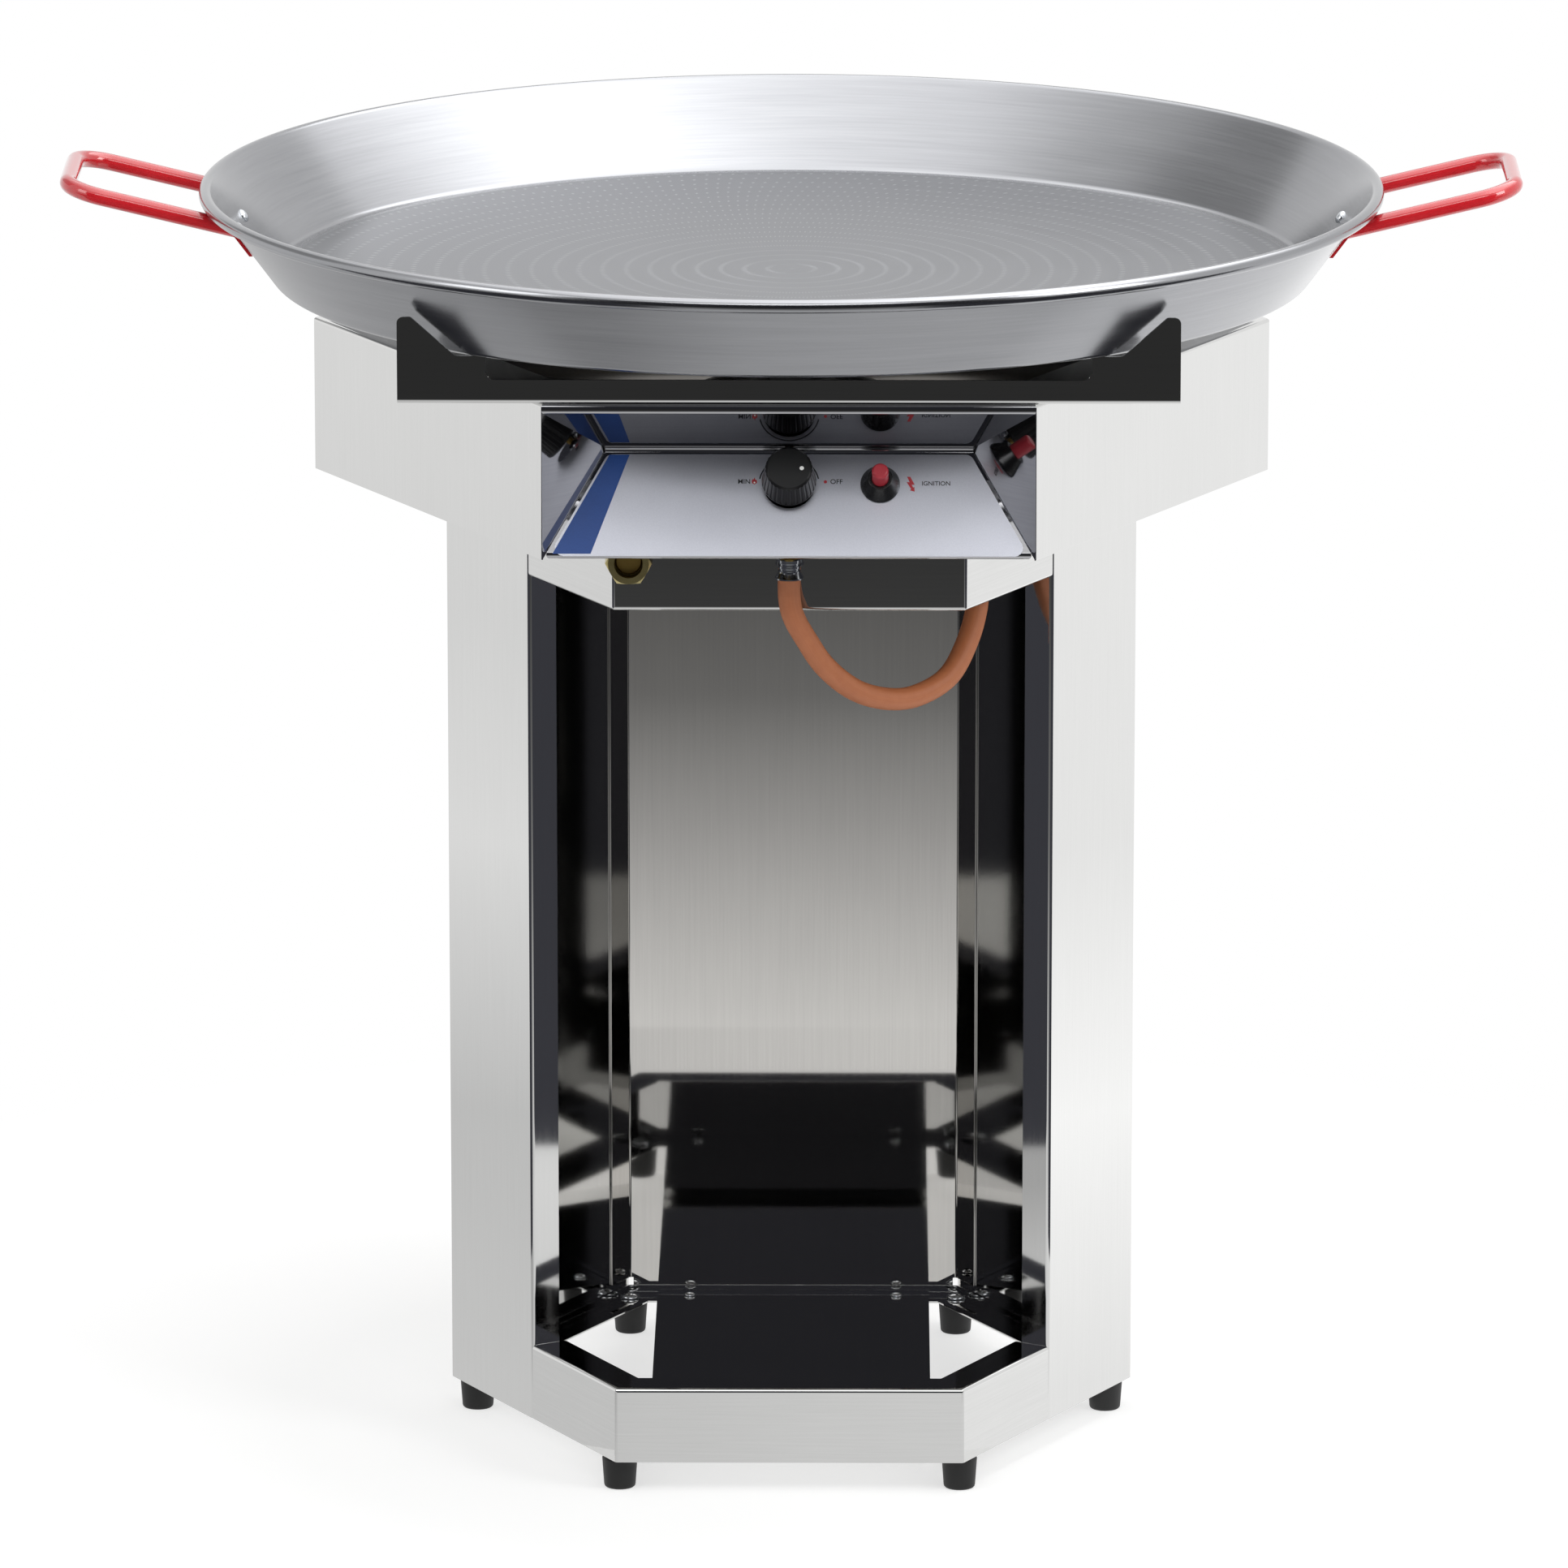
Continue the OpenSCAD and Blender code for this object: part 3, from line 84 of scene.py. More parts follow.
class Edge(Enum):
    """Width in metres of the softened edge of a refined piece."""

    SHARP = 0.0
    SHEET = 0.00035
    TURNED = 0.0004


def linear(code: str) -> tuple[float, float, float, float]:
    """Turns an sRGB hex colour to linear light.

    Args:
        code: Colour such as "#c8102e".

    Returns:
        Linear red, green, blue and an alpha of 1.
    """
    parts = [int(code[i : i + 2], 16) / 255 for i in (1, 3, 5)]
    light = [c / 12.92 if c <= 0.04045 else ((c + 0.055) / 1.055) ** 2.4 for c in parts]
    return (light[0], light[1], light[2], 1.0)


def bare_tree(owner: Any) -> Any:
    """Empties the node tree of a material or world.

    Args:
        owner: Material or world.

    Returns:
        Its node tree, with no node in it.
    """
    owner.use_nodes = True
    owner.node_tree.nodes.clear()
    return owner.node_tree


def put(tree: Any, kind: str, wires: dict[Any, Any] | None = None, **settings: Any) -> Any:
    """Adds a node with its settings and links.

    Args:
        tree: Node tree that takes the node.
        kind: Blender's name of the node.
        wires: Input name or number to a socket or a node's first socket, which is linked, or a value, which
            is set.
        settings: Properties of the node.

    Returns:
        The new node.
    """
    node = tree.nodes.new(kind)
    for name, value in settings.items():
        setattr(node, name, value)
    for name, value in (wires or {}).items():
        source = value.outputs[0] if isinstance(value, bpy.types.Node) else value
        if isinstance(source, bpy.types.NodeSocket):
            tree.links.new(source, node.inputs[name])
        else:
            node.inputs[name].default_value = source
    return node


def only(piece: Any) -> None:
    """Selects one object and makes it active.

    Args:
        piece: Object to select.
    """
    bpy.ops.object.select_all(action="DESELECT")
    piece.hide_set(False)
    piece.select_set(True)
    bpy.context.view_layer.objects.active = piece


@contextmanager
def editing(piece: Any) -> Iterator[None]:
    """Opens a piece in edit mode with all of it selected, and closes it again.

    Args:
        piece: Mesh object.

    Yields:
        Nothing, while the piece is open.
    """
    only(piece)
    bpy.ops.object.mode_set(mode="EDIT")
    bpy.ops.mesh.select_all(action="SELECT")
    yield
    bpy.ops.object.mode_set(mode="OBJECT")


def settle(piece: Any) -> None:
    """Moves an object's place, turn and size into its mesh."""
    only(piece)
    bpy.ops.object.transform_apply(location=True, rotation=True, scale=True)


def finish_modifiers(piece: Any) -> None:
    """Applies every modifier of a piece in order.

    Args:
        piece: Mesh object.
    """
    only(piece)
    for name in [m.name for m in piece.modifiers]:
        bpy.ops.object.modifier_apply(modifier=name)


def smooth(piece: Any, angle: float) -> None:
    """Shades a piece smooth except over edges sharper than an angle in degrees."""
    only(piece)
    bpy.ops.object.shade_smooth_by_angle(angle=math.radians(angle))


def even_normals(piece: Any) -> None:
    """Lets the large flat faces of a smooth piece rule its normals, so that flats stay flat.

    Args:
        piece: Mesh object.
    """
    weighted = piece.modifiers.new("even", "WEIGHTED_NORMAL")
    weighted.mode = "FACE_AREA"
    weighted.weight = 100
    weighted.keep_sharp = True
    finish_modifiers(piece)


def linked(name: str, data: Any) -> Any:
    """Puts a new object in the scene.

    Args:
        name: Name of the object.
        data: Its mesh, curve, camera or light.

    Returns:
        The object.
    """
    piece = bpy.data.objects.new(name, data)
    bpy.context.scene.collection.objects.link(piece)
    return piece


def plane(name: str, size: float = 1.0, at: Point = (0.0, 0.0, 0.0)) -> Any:
    """Adds a level square.

    Args:
        name: Name of the new object.
        size: Length of its sides in metres.
        at: Its middle.

    Returns:
        The square, selected.
    """
    bpy.ops.mesh.primitive_plane_add(size=size, location=at)
    piece = bpy.context.object
    piece.name = name
    piece.data.name = name
    return piece


def traced(name: str, points: Sequence[Point], filled: bool = False) -> Any:
    """Draws a line of points by extruding one point after another.

    Args:
        name: Name of the new object.
        points: Points of the line in metres.
        filled: Whether the line is closed and filled with a face.

    Returns:
        The new object, with its points selected.
    """
    piece = plane(name, MM)
    with editing(piece):
        bpy.ops.mesh.merge(type="CENTER")
        bpy.ops.transform.translate(value=points[0])
        for a, b in zip(points, points[1:]):
            bpy.ops.mesh.extrude_vertices_move(TRANSFORM_OT_translate={"value": Vector(b) - Vector(a)})
        bpy.ops.mesh.select_all(action="SELECT")
        if filled:
            bpy.ops.mesh.edge_face_add()
    return piece


def turned(name: str, section: Sequence[Pair], steps: int, seam: float = 2e-6) -> Any:
    """Turns a section round the Z axis.

    Args:
        name: Name of the new object.
        section: Radius and height of each point, in metres.
        steps: Steps of one turn.
        seam: Distance in metres under which points where the turn closes are one.

    Returns:
        The closed piece.
    """
    piece = traced(name, [(r, 0.0, z) for r, z in section])
    with editing(piece):
        bpy.ops.mesh.spin(steps=steps, angle=2 * math.pi, center=(0, 0, 0), axis=(0, 0, 1))
    with editing(piece):
        bpy.ops.mesh.remove_doubles(threshold=seam)
        bpy.ops.mesh.normals_make_consistent(inside=False)
    smooth(piece, TURN_ANGLE)
    return piece


def joined(name: str, pieces: Sequence[Any]) -> Any:
    """Joins copies of a shape to one piece.

    Args:
        name: Name of the joined piece.
        pieces: Objects to join.

    Returns:
        The joined piece.
    """
    only(pieces[0])
    for piece in pieces:
        piece.select_set(True)
    bpy.ops.object.join()
    pieces[0].name = name
    return pieces[0]


def copied(piece: Any, place: Matrix) -> Any:
    """Copies a piece, with its own mesh, to a place.

    Args:
        piece: Piece made round the origin.
        place: Place and turn of the copy.

    Returns:
        The copy.
    """
    twin = linked(piece.name, piece.data.copy())
    twin.matrix_world = place
    settle(twin)
    return twin


def dress(piece: Any, finish: Finish, body: str, slot: str, *nodes: str) -> None:
    """Gives a piece its finish, its body and the nodes that it stands for.

    Args:
        piece: Finished piece, in place.
        finish: Finish that it gets.
        body: CAD body that it moves with.
        slot: Name of a material slot; not used.
        nodes: CAD nodes that it replaces.
    """
    piece.data.materials.clear()
    piece.data.materials.append(finish.material())
    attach(piece, body)
    if nodes:
        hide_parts(*nodes)
    LOG.info("%s rides on %s", piece.name, body)


def refined(node: str, edge: Edge = Edge.SHEET, angle: float = FOLD_ANGLE, merge: float = 1e-6) -> Any:
    """Copies a CAD node's shape, merges it, softens its edges and shades it smooth.

    Args:
        node: Name of the CAD node.
        edge: Width of the softened edges.
        angle: Edges sharper than this, in degrees, are softened.
        merge: Distance in metres under which the node's points are one.

    Returns:
        The copy, named after the node.
    """
    flat_angle = 0.2
    piece = linked(f"{node}_dressed", bpy.data.objects[node].data.copy())
    with editing(piece):
        bpy.ops.mesh.remove_doubles(threshold=merge)
        bpy.ops.mesh.dissolve_limited(angle_limit=math.radians(flat_angle))
    if edge is not Edge.SHARP:
        bevel = piece.modifiers.new("softened", "BEVEL")
        bevel.width = edge.value
        bevel.segments = 2
        bevel.limit_method = "ANGLE"
        bevel.angle_limit = math.radians(angle)
        bevel.use_clamp_overlap = True
        finish_modifiers(piece)
    smooth(piece, angle)
    even_normals(piece)
    return piece


@dataclass(frozen=True)
class Finish:
    """A surface: what it is made of and how it was made."""

    name: str
    colour: str
    metallic: float = 0.0
    roughness: float = 0.5
    coat: float = 0.0
    coat_roughness: float = 0.05

    def material(self) -> Any:
        """Makes the finish's material the first time it is asked for.

        Returns:
            The material.
        """
        known = bpy.data.materials.get(self.name)
        if known:
            return known
        made = bpy.data.materials.new(self.name)
        tree = bare_tree(made)
        base = {"Base Color": linear(self.colour), "Metallic": self.metallic, "Roughness": self.roughness}
        coat = {"Coat Weight": self.coat, "Coat Roughness": self.coat_roughness}
        shader = put(tree, "ShaderNodeBsdfPrincipled", {**base, **coat})
        put(tree, "ShaderNodeOutputMaterial", {"Surface": shader}, is_active_output=True)
        place = put(tree, "ShaderNodeTexCoord").outputs["Object"]
        for name, node in self.pattern(tree, place).items():
            tree.links.new(node.outputs[0], shader.inputs[name])
        return made

    def pattern(self, tree: Any, place: Any) -> dict[str, Any]:
        """Adds the surface's own pattern, none on a plain surface.

        Args:
            tree: Node tree of the material.
            place: Socket with the place on the object, in metres.

        Returns:
            Input name of the shader to the node that is linked to it.
        """
        return {}


@dataclass(frozen=True)
class Grained(Finish):
    """A moulded, cast, plated or coated surface: grain and slow clouds rule its colour, gloss and relief."""

    light: str = WHITE
    low: float = 0.3
    high: float = 0.5
    share: float = 0.6
    depth: float = 1e-5
    grain: Axis = Axis.EVEN
    # Where the real grain is finer, it is drawn this coarse so that it shows.
    grain_mm: float = 1.0
    grain_detail: float = 2.0
    cloud_mm: float = 25.0
    cloud_detail: float = 3.0
    cloud_rough: float = 0.5

    def lines(self, tree: Any, place: Any) -> Any:
        """Returns the node that counts a place on the object in grains."""
        scale = tuple(MM_PER_M / self.grain_mm * s for s in self.grain.value)
        return put(tree, "ShaderNodeMapping", {"Vector": place, "Scale": scale})

    def pattern(self, tree: Any, place: Any) -> dict[str, Any]:
        """Lets grain and clouds choose colour and roughness, and the grain the relief.

        Args:
            tree: Node tree of the material.
            place: Socket with the place on the object, in metres.

        Returns:
            Nodes for the shader's colour, roughness and relief.
        """
        fine = {"Scale": 1.0, "Detail": self.grain_detail}
        grain = put(tree, "ShaderNodeTexNoise", {"Vector": self.lines(tree, place), **fine})
        slow = {"Scale": MM_PER_M / self.cloud_mm, "Detail": self.cloud_detail, "Roughness": self.cloud_rough}
        clouds = put(tree, "ShaderNodeTexNoise", {"Vector": place, **slow})
        both = put(tree, "ShaderNodeMixRGB", {"Fac": self.share, "Color1": grain, "Color2": clouds})
        tones = {"Color1": linear(self.colour), "Color2": linear(self.light)}
        gloss = {"To Min": self.low, "To Max": self.high}
        return {
            "Base Color": put(tree, "ShaderNodeMixRGB", {"Fac": both, **tones}),
            "Roughness": put(tree, "ShaderNodeMapRange", {"Value": both, **gloss}),
            "Normal": put(tree, "ShaderNodeBump", {"Height": grain, "Distance": self.depth}),
        }


@dataclass(frozen=True)
class SheetSteel(Grained):
    """Cold-rolled stainless sheet: a near mirror with rolled grain and faint clouds from wiping."""

    light: str = "#dddddc"
    share: float = 0.45
    depth: float = 1e-6
    grain: Axis = Axis.UPRIGHT
    # Rolled grain is finer than a tenth of a millimetre, and is drawn coarser so that it shows.
    grain_mm: float = 1.4
    grain_detail: float = 3.0
    cloud_mm: float = 111.0
    cloud_detail: float = 4.0
    cloud_rough: float = 0.6


@dataclass(frozen=True)
class PanSteel(Finish):
    """Spun and polished carbon steel: rings of fine scratches round the pan's axis."""

    light: str = "#a5a6a9"
    low: float = 0.13
    high: float = 0.26
    share: float = 0.5
    floor_r: float = 0.343
    floor_edge: float = 0.002
    floor_dark: str = "#737477"
    floor_light: str = "#87888b"
    satin: float = 0.18
    # Polishing scratches are finer than a tenth of a millimetre, and are drawn coarser so that they show.
    scratch_mm: float = 1.6
    scratches_per_radian: float = 5.0
    scratch_depth: float = 1.2e-5
    band_mm: float = 11.1
    bands_per_radian: float = 2.0
    ring_mm: float = 16.0
    marks_per_radian: float = 230.0
    mark_slip: float = 0.37
    # A mark begins and is full where the waves across and along its row add up to these.
    mark_from: float = 1.55
    mark_full: float = 1.95
    # Painted glint: the paler colour that the marks are drawn in.
    mark_glint_colour: str = "#9c9da0"
    # Height of a mark in depths of a scratch, below zero because it is sunk.
    sink: float = -6.0

    def pattern(self, tree: Any, place: Any) -> dict[str, Any]:
        """Adds spun scratches, the satin floor and its rings of shallow hammer marks.

        Args:
            tree: Node tree of the material.
            place: Socket with the place on the pan, in metres.

        Returns:
            Nodes for the shader's colour, roughness and relief.
        """
        flat = put(tree, "ShaderNodeVectorMath", {0: place, 1: (1, 1, 0)}, operation="MULTIPLY")
        reach = put(tree, "ShaderNodeVectorMath", {0: flat}, operation="LENGTH").outputs["Value"]
        split = put(tree, "ShaderNodeSeparateXYZ", {"Vector": place}).outputs
        turn = put(tree, "ShaderNodeMath", {0: split["Y"], 1: split["X"]}, operation="ARCTAN2")
        polar = put(tree, "ShaderNodeCombineXYZ", {"X": reach, "Y": turn, "Z": split["Z"]})
        fine = MM_PER_M / self.scratch_mm
        thin = (fine, self.scratches_per_radian, fine)
        lines = put(tree, "ShaderNodeMapping", {"Vector": polar, "Scale": thin})
        scratch = put(tree, "ShaderNodeTexNoise", {"Vector": lines, "Scale": 1.0, "Detail": 4.0})
        wide = MM_PER_M / self.band_mm
        thick = (wide, self.bands_per_radian, wide)
        bands = put(tree, "ShaderNodeMapping", {"Vector": polar, "Scale": thick})
        broad = put(tree, "ShaderNodeTexNoise", {"Vector": bands, "Scale": 1.0, "Detail": 3.0})
        both = put(tree, "ShaderNodeMixRGB", {"Fac": self.share, "Color1": scratch, "Color2": broad})
        # The floor of the pan is satin and greyer than its polished wall.
        border = {"From Min": self.floor_r - self.floor_edge, "From Max": self.floor_r + self.floor_edge}
        inside = put(tree, "ShaderNodeMapRange", {"Value": reach, **border, "To Min": 1.0, "To Max": 0.0})
        wall, floor = (
            put(tree, "ShaderNodeMixRGB", {"Fac": both, "Color1": linear(dark), "Color2": linear(pale)})
            for dark, pale in ((self.colour, self.light), (self.floor_dark, self.floor_light))
        )
        colour = put(tree, "ShaderNodeMixRGB", {"Fac": inside, "Color1": wall, "Color2": floor})
        gloss = put(tree, "ShaderNodeMapRange", {"Value": both, "To Min": self.low, "To Max": self.high})
        dull = put(tree, "ShaderNodeMath", {0: inside, 1: self.satin, 2: gloss}, operation="MULTIPLY_ADD")
        # Rows of shallow marks, one row to each turn of the hammer, each row a little ahead of the last.
        per_ring = 2 * math.pi * MM_PER_M / self.ring_mm
        ring = put(tree, "ShaderNodeMath", {0: reach, 1: per_ring}, operation="MULTIPLY")
        row = put(tree, "ShaderNodeMath", {0: ring}, operation="COSINE")
        arc = put(tree, "ShaderNodeMath", {0: turn, 1: self.marks_per_radian}, operation="MULTIPLY")
        spiral = put(tree, "ShaderNodeMath", {0: ring, 1: self.mark_slip, 2: arc}, operation="MULTIPLY_ADD")
        beat = put(tree, "ShaderNodeMath", {0: spiral}, operation="COSINE")
        crest = put(tree, "ShaderNodeMath", {0: row, 1: beat}, operation="ADD")
        limits = {"From Min": self.mark_from, "From Max": self.mark_full}
        spot = put(tree, "ShaderNodeMapRange", {"Value": crest, **limits})
        marks = put(tree, "ShaderNodeMath", {0: spot, 1: inside}, operation="MULTIPLY")
        # The marks are painted paler than the satin round them, a painted glint where their sunk dents catch
        # the light; the sunk relief itself is real.
        bright = linear(self.mark_glint_colour)
        marked = put(tree, "ShaderNodeMixRGB", {"Fac": marks, "Color1": colour, "Color2": bright})
        sunk = put(tree, "ShaderNodeMath", {0: marks, 1: self.sink, 2: scratch}, operation="MULTIPLY_ADD")
        relief = put(tree, "ShaderNodeBump", {"Height": sunk, "Distance": self.scratch_depth})
        return {"Base Color": marked, "Roughness": dull, "Normal": relief}


@dataclass(frozen=True)
class HoseRubber(Grained):
    """Extruded rubber hose: dull, dusty, with faint draw lines along its length."""

    light: str = "#bb7449"
    low: float = 0.45
    high: float = 0.68
    share: float = 0.5
    depth: float = 2e-5
    grain_detail: float = 3.0
    cloud_mm: float = 6.25
    cloud_detail: float = 4.0
    # Length and girth of the hose, and length and width of a draw line.
    tube_mm: Pair = (267.0, 47.1)
    line_mm: Pair = (89.0, 0.785)

    def lines(self, tree: Any, place: Any) -> Any:
        """Returns the node that counts draw lines on the hose's own UV map."""
        scale = (self.tube_mm[0] / self.line_mm[0], self.tube_mm[1] / self.line_mm[1], 1.0)
        return put(tree, "ShaderNodeMapping", {"Vector": put(tree, "ShaderNodeUVMap"), "Scale": scale})


@dataclass(frozen=True)
class Ink(Grained):
    """Screen-printed ink: a flat colour with a faint tooth."""

    roughness: float = 0.4
    low: float = 0.35
    depth: float = 2e-6
    grain_mm: float = 1.2


# Cold-rolled stainless of the stand and box: a bright neutral sheet, wiped clean, that mirrors its room.
SIDE_SHEET = SheetSteel("stainless_side_sheet", "#d4d4d3", 1.0, 0.1, low=0.03, high=0.07)
BACK_SHEET = SheetSteel("stainless_back_sheet", "#c4c2bf", 1.0, 0.1, light="#d6d4d0", low=0.02, high=0.05)
BRIGHT_SHEET = SheetSteel(
    "stainless_bright_sheet", "#cdcdcc", 1.0, 0.06, grain=Axis.SIDEWAYS, low=0.025, high=0.06
)
# The recess is the same stainless drawn darker: painted shade and painted dark reflections of the recess.
RECESS_SHEET_PAINTED_SHADE = SheetSteel(
    "stainless_recess_sheet_painted_shade", "#a8a8ab", 1.0, 0.04, grain=Axis.SIDEWAYS, light="#c2c2c4", low=0.02, high=0.05
)
# Spun carbon steel of the pan: polished wall, satin floor.
PAN_STEEL = PanSteel("polished_carbon_steel", "#8a8b8e", 1.0, 0.2)
# Vitreous enamel on the handles: deep red, smooth, with a wet gloss.
RED_ENAMEL = Grained(
    "red_enamel", "#c2141e", 0.0, 0.16, 1.0, light="#d02830", grain_mm=3.0, low=0.12, high=0.18, depth=1e-6
)
# Nitrile feet: dull black with dust.
FOOT_RUBBER = Grained("nitrile_rubber", "#0c0c0c", 0.0, 0.6, light="#1a1a1a", low=0.45, high=0.65)
# Moulded phenolic of the knob: black with a soft sheen.
KNOB_PLASTIC = Grained(
    "phenolic_knob", "#080809", 0.0, 0.3, light="#121213", grain_mm=0.7, low=0.24, high=0.4
)
# Moulded ABS of the igniter: a glossier black collar and a satin red button.
COLLAR_PLASTIC = Grained(
    "abs_collar", "#0b0b0c", 0.0, 0.25, light="#151516", grain_mm=0.7, low=0.2, high=0.34
)
BUTTON_PLASTIC = Grained(
    "abs_red_button", "#9c2430", 0.0, 0.3, light="#b0343f", grain_mm=0.7, low=0.28, high=0.4
)
# Extruded rubber of the gas hose: orange-brown and dull.
HOSE_RUBBER = HoseRubber("gas_hose_rubber", "#9e562f", 0.0, 0.55)
# Zinc plate with a yellow chromate skin on the union nut: pale gold, unevenly bright.
NUT_PLATE = Grained(
    "yellow_chromate_zinc", "#b9a468", 1.0, 0.3,
    light="#d8cf9a", grain_mm=6.0, low=0.22, high=0.38, depth=4e-6,
)
# Machined brass of the tap and elbow, and drawn copper of the sensor: warm metals, slightly tarnished.
BRASS = Grained(
    "machined_brass", "#b08d45", 1.0, 0.3, light="#cdb06a", grain_mm=4.0, low=0.25, high=0.42, depth=4e-6
)
COPPER = Grained(
    "drawn_copper", "#a8643f", 1.0, 0.35, light="#c4825a", grain_mm=4.0, low=0.3, high=0.45, depth=4e-6
)
# Zinc-plated steel of screws, rivets and ferrules: bright with a cool cast.
BRIGHT_STEEL = Grained(
    "plated_steel", "#b9bcc0", 1.0, 0.2, light="#d3d6da", grain_mm=5.0, low=0.14, high=0.26, depth=3e-6
)
# Welded steel tube of the burner: grey and dull.
BURNER_STEEL = Grained(
    "mild_steel_tube", "#8b8885", 1.0, 0.4, light="#a7a39e", grain_mm=2.5, low=0.34, high=0.52
)
# Sand-cast iron of the burner's hub: dark, rough and pitted.
CAST_IRON = Grained(
    "sand_cast_iron", "#3b3b3c", 0.6, 0.6, light="#525152", grain_mm=1.6, low=0.5, high=0.7, depth=8e-5
)
# Glazed ceramic of the electrode: off-white and glossy.
CERAMIC = Grained("glazed_ceramic", "#e2dfd6", 0.0, 0.2, light="#efece5", grain_mm=3.0, low=0.12, high=0.22)
# Extruded silicone round the igniter's lead: soft black.
LEAD_SLEEVE = Grained("silicone_sleeve", "#141416", 0.0, 0.5, light="#232326", low=0.4, high=0.55)
# Satin aluminium plate under a clear print film: cool silver with a fine flake.
LABEL_FACE = Grained(
    "printed_aluminium", "#c4c6d0", 0.86, 0.36, light="#dcdee7", grain_mm=0.9, cloud_mm=40.0,
    low=0.32, high=0.4, share=0.4, depth=3e-6,
)
# Screen-printed inks: flat colours with a faint tooth.
STRIPE_INK = Ink("blue_ink", "#1b3c78", light="#27509a", low=0.3, high=0.42)
BLACK_INK = Ink("black_ink", "#1c1c20", light="#2c2c31")
RED_INK = Ink("red_ink", "#a3242e", light="#b83a42")
WHITE_INK = Ink("white_ink", "#e9e9e6", light="#f6f6f3")


@dataclass(frozen=True)
class Dressing:
    """How one CAD node is dressed: its finish, its material slot, its edges and its shading."""

    finish: Finish
    slot: str
    edge: Edge = Edge.SHEET
    angle: float = FOLD_ANGLE


@dataclass
class SubAssembly:
    """A group of refined CAD nodes that share a body."""

    body: str = "stand"
    parts: dict[str, Dressing] = field(default_factory=dict)

    def dress_nodes(self) -> None:
        """Refines every node of the group and gives it its finish."""
        for node, look in self.parts.items():
            dress(refined(node, look.edge, look.angle), look.finish, self.body, look.slot, node)

    def build(self) -> None:
        """Builds the group's pieces."""
        self.dress_nodes()


@dataclass
class CrossScrew:
    """Domed screw head with a cross recess, on the same spots as the CAD screws.

    The head, dome and recess are in shares of the shank's diameter, the recess's depth in shares of the dome.
    """

    shank: float
    spots: tuple[Point, ...]
    head: float = 1.15
    dome: float = 0.65
    grip: float = 0.002
    lip: float = 0.0002
    cross_long: float = 1.1
    cross_wide: float = 0.22
    cross_deep: float = 0.62
    twist: float = 37.0
    steps: int = 32

    def head_shape(self) -> Any:
        """Models one screw at the origin.

        Returns:
            The screw.
        """
        wide = self.head * self.shank
        tall = self.dome * self.shank
        half = self.shank / 2
        arc = [math.radians(a) for a in range(0, 90, 10)]
        section = [(0.0, -self.grip), (half, -self.grip), (half, 0.0), (wide - self.lip, 0.0)]
        section += [(wide * math.cos(a), self.lip + (tall - self.lip) * math.sin(a)) for a in arc]
        section += [(0.0, tall)]
        screw = turned("screw", section, self.steps)
        blade_size = (self.cross_long * self.shank, self.cross_wide * self.shank, 2 * self.cross_deep * tall)
        for turn in (0.0, 90.0):
            bpy.ops.mesh.primitive_cube_add(size=1.0, location=(0.0, 0.0, tall))
            blade = bpy.context.object
            blade.scale = blade_size
            blade.rotation_euler = (0.0, 0.0, math.radians(turn))
            settle(blade)
            cut = screw.modifiers.new("recess", "BOOLEAN")
            cut.object = blade
            cut.operation = "DIFFERENCE"
            cut.solver = "EXACT"
            finish_modifiers(screw)
            bpy.data.objects.remove(blade)
        smooth(screw, TURN_ANGLE)
        return screw

    def build(self, node: str, body: str) -> None:
        """Copies the screw to its spots and dresses it.

        Args:
            node: CAD node of the screws.
            body: Body that they ride on.
        """
        model = self.head_shape()
        turns = [math.radians(self.twist * k) for k in range(len(self.spots))]
        copies = [
            copied(model, Matrix.Translation(at) @ Matrix.Rotation(turn, 4, "Z"))
            for at, turn in zip(self.spots, turns)
        ]
        bpy.data.objects.remove(model)
        dress(joined(f"{node}_heads", copies), BRIGHT_STEEL, body, "fasteners", node)


@dataclass
class Stand(SubAssembly):
    """Six-sided sheet stand with its rings, floor plate and feet."""

    parts: dict[str, Dressing] = field(
        default_factory=lambda: {
            "left_side_panel": Dressing(SIDE_SHEET, "side_sheet"),
            "right_side_panel": Dressing(SIDE_SHEET, "side_sheet"),
            "back_panel": Dressing(BACK_SHEET, "back_sheet"),
            "front_rim": Dressing(BRIGHT_SHEET, "front_sheet"),
            "front_collar": Dressing(BRIGHT_SHEET, "front_sheet"),
            "base_ring": Dressing(BRIGHT_SHEET, "inner_sheet"),
            "top_ring": Dressing(BRIGHT_SHEET, "inner_sheet"),
            "floor_plate": Dressing(BRIGHT_SHEET, "floor_sheet"),
            **{f"foot_{k}": Dressing(FOOT_RUBBER, "foot_rubber", Edge.TURNED) for k in range(1, 7)},
        }
    )
    plate_screw_d: float = 0.004
    plate_screws: Point = (0.073, 0.18732, 0.0252)
    foot_bolt_d: float = 0.006
    front_feet: Point = (0.115, 0.18502, 0.024)
    side_feet: float = 0.217

    def build(self) -> None:
        """Builds the sheets and feet, then their screws."""
        self.dress_nodes()
        x, y, z = self.plate_screws
        plate = tuple((i * x, j * y, z) for i in (-1, 1) for j in (-1, 1))
        CrossScrew(self.plate_screw_d, plate).build("floor_plate_screws", self.body)
        x, y, z = self.front_feet
        feet = [(i * x, j * y, z) for i in (-1, 1) for j in (-1, 1)]
        feet += [(i * self.side_feet, 0.0, z) for i in (-1, 1)]
        CrossScrew(self.foot_bolt_d, tuple(feet)).build("foot_bolts", self.body)


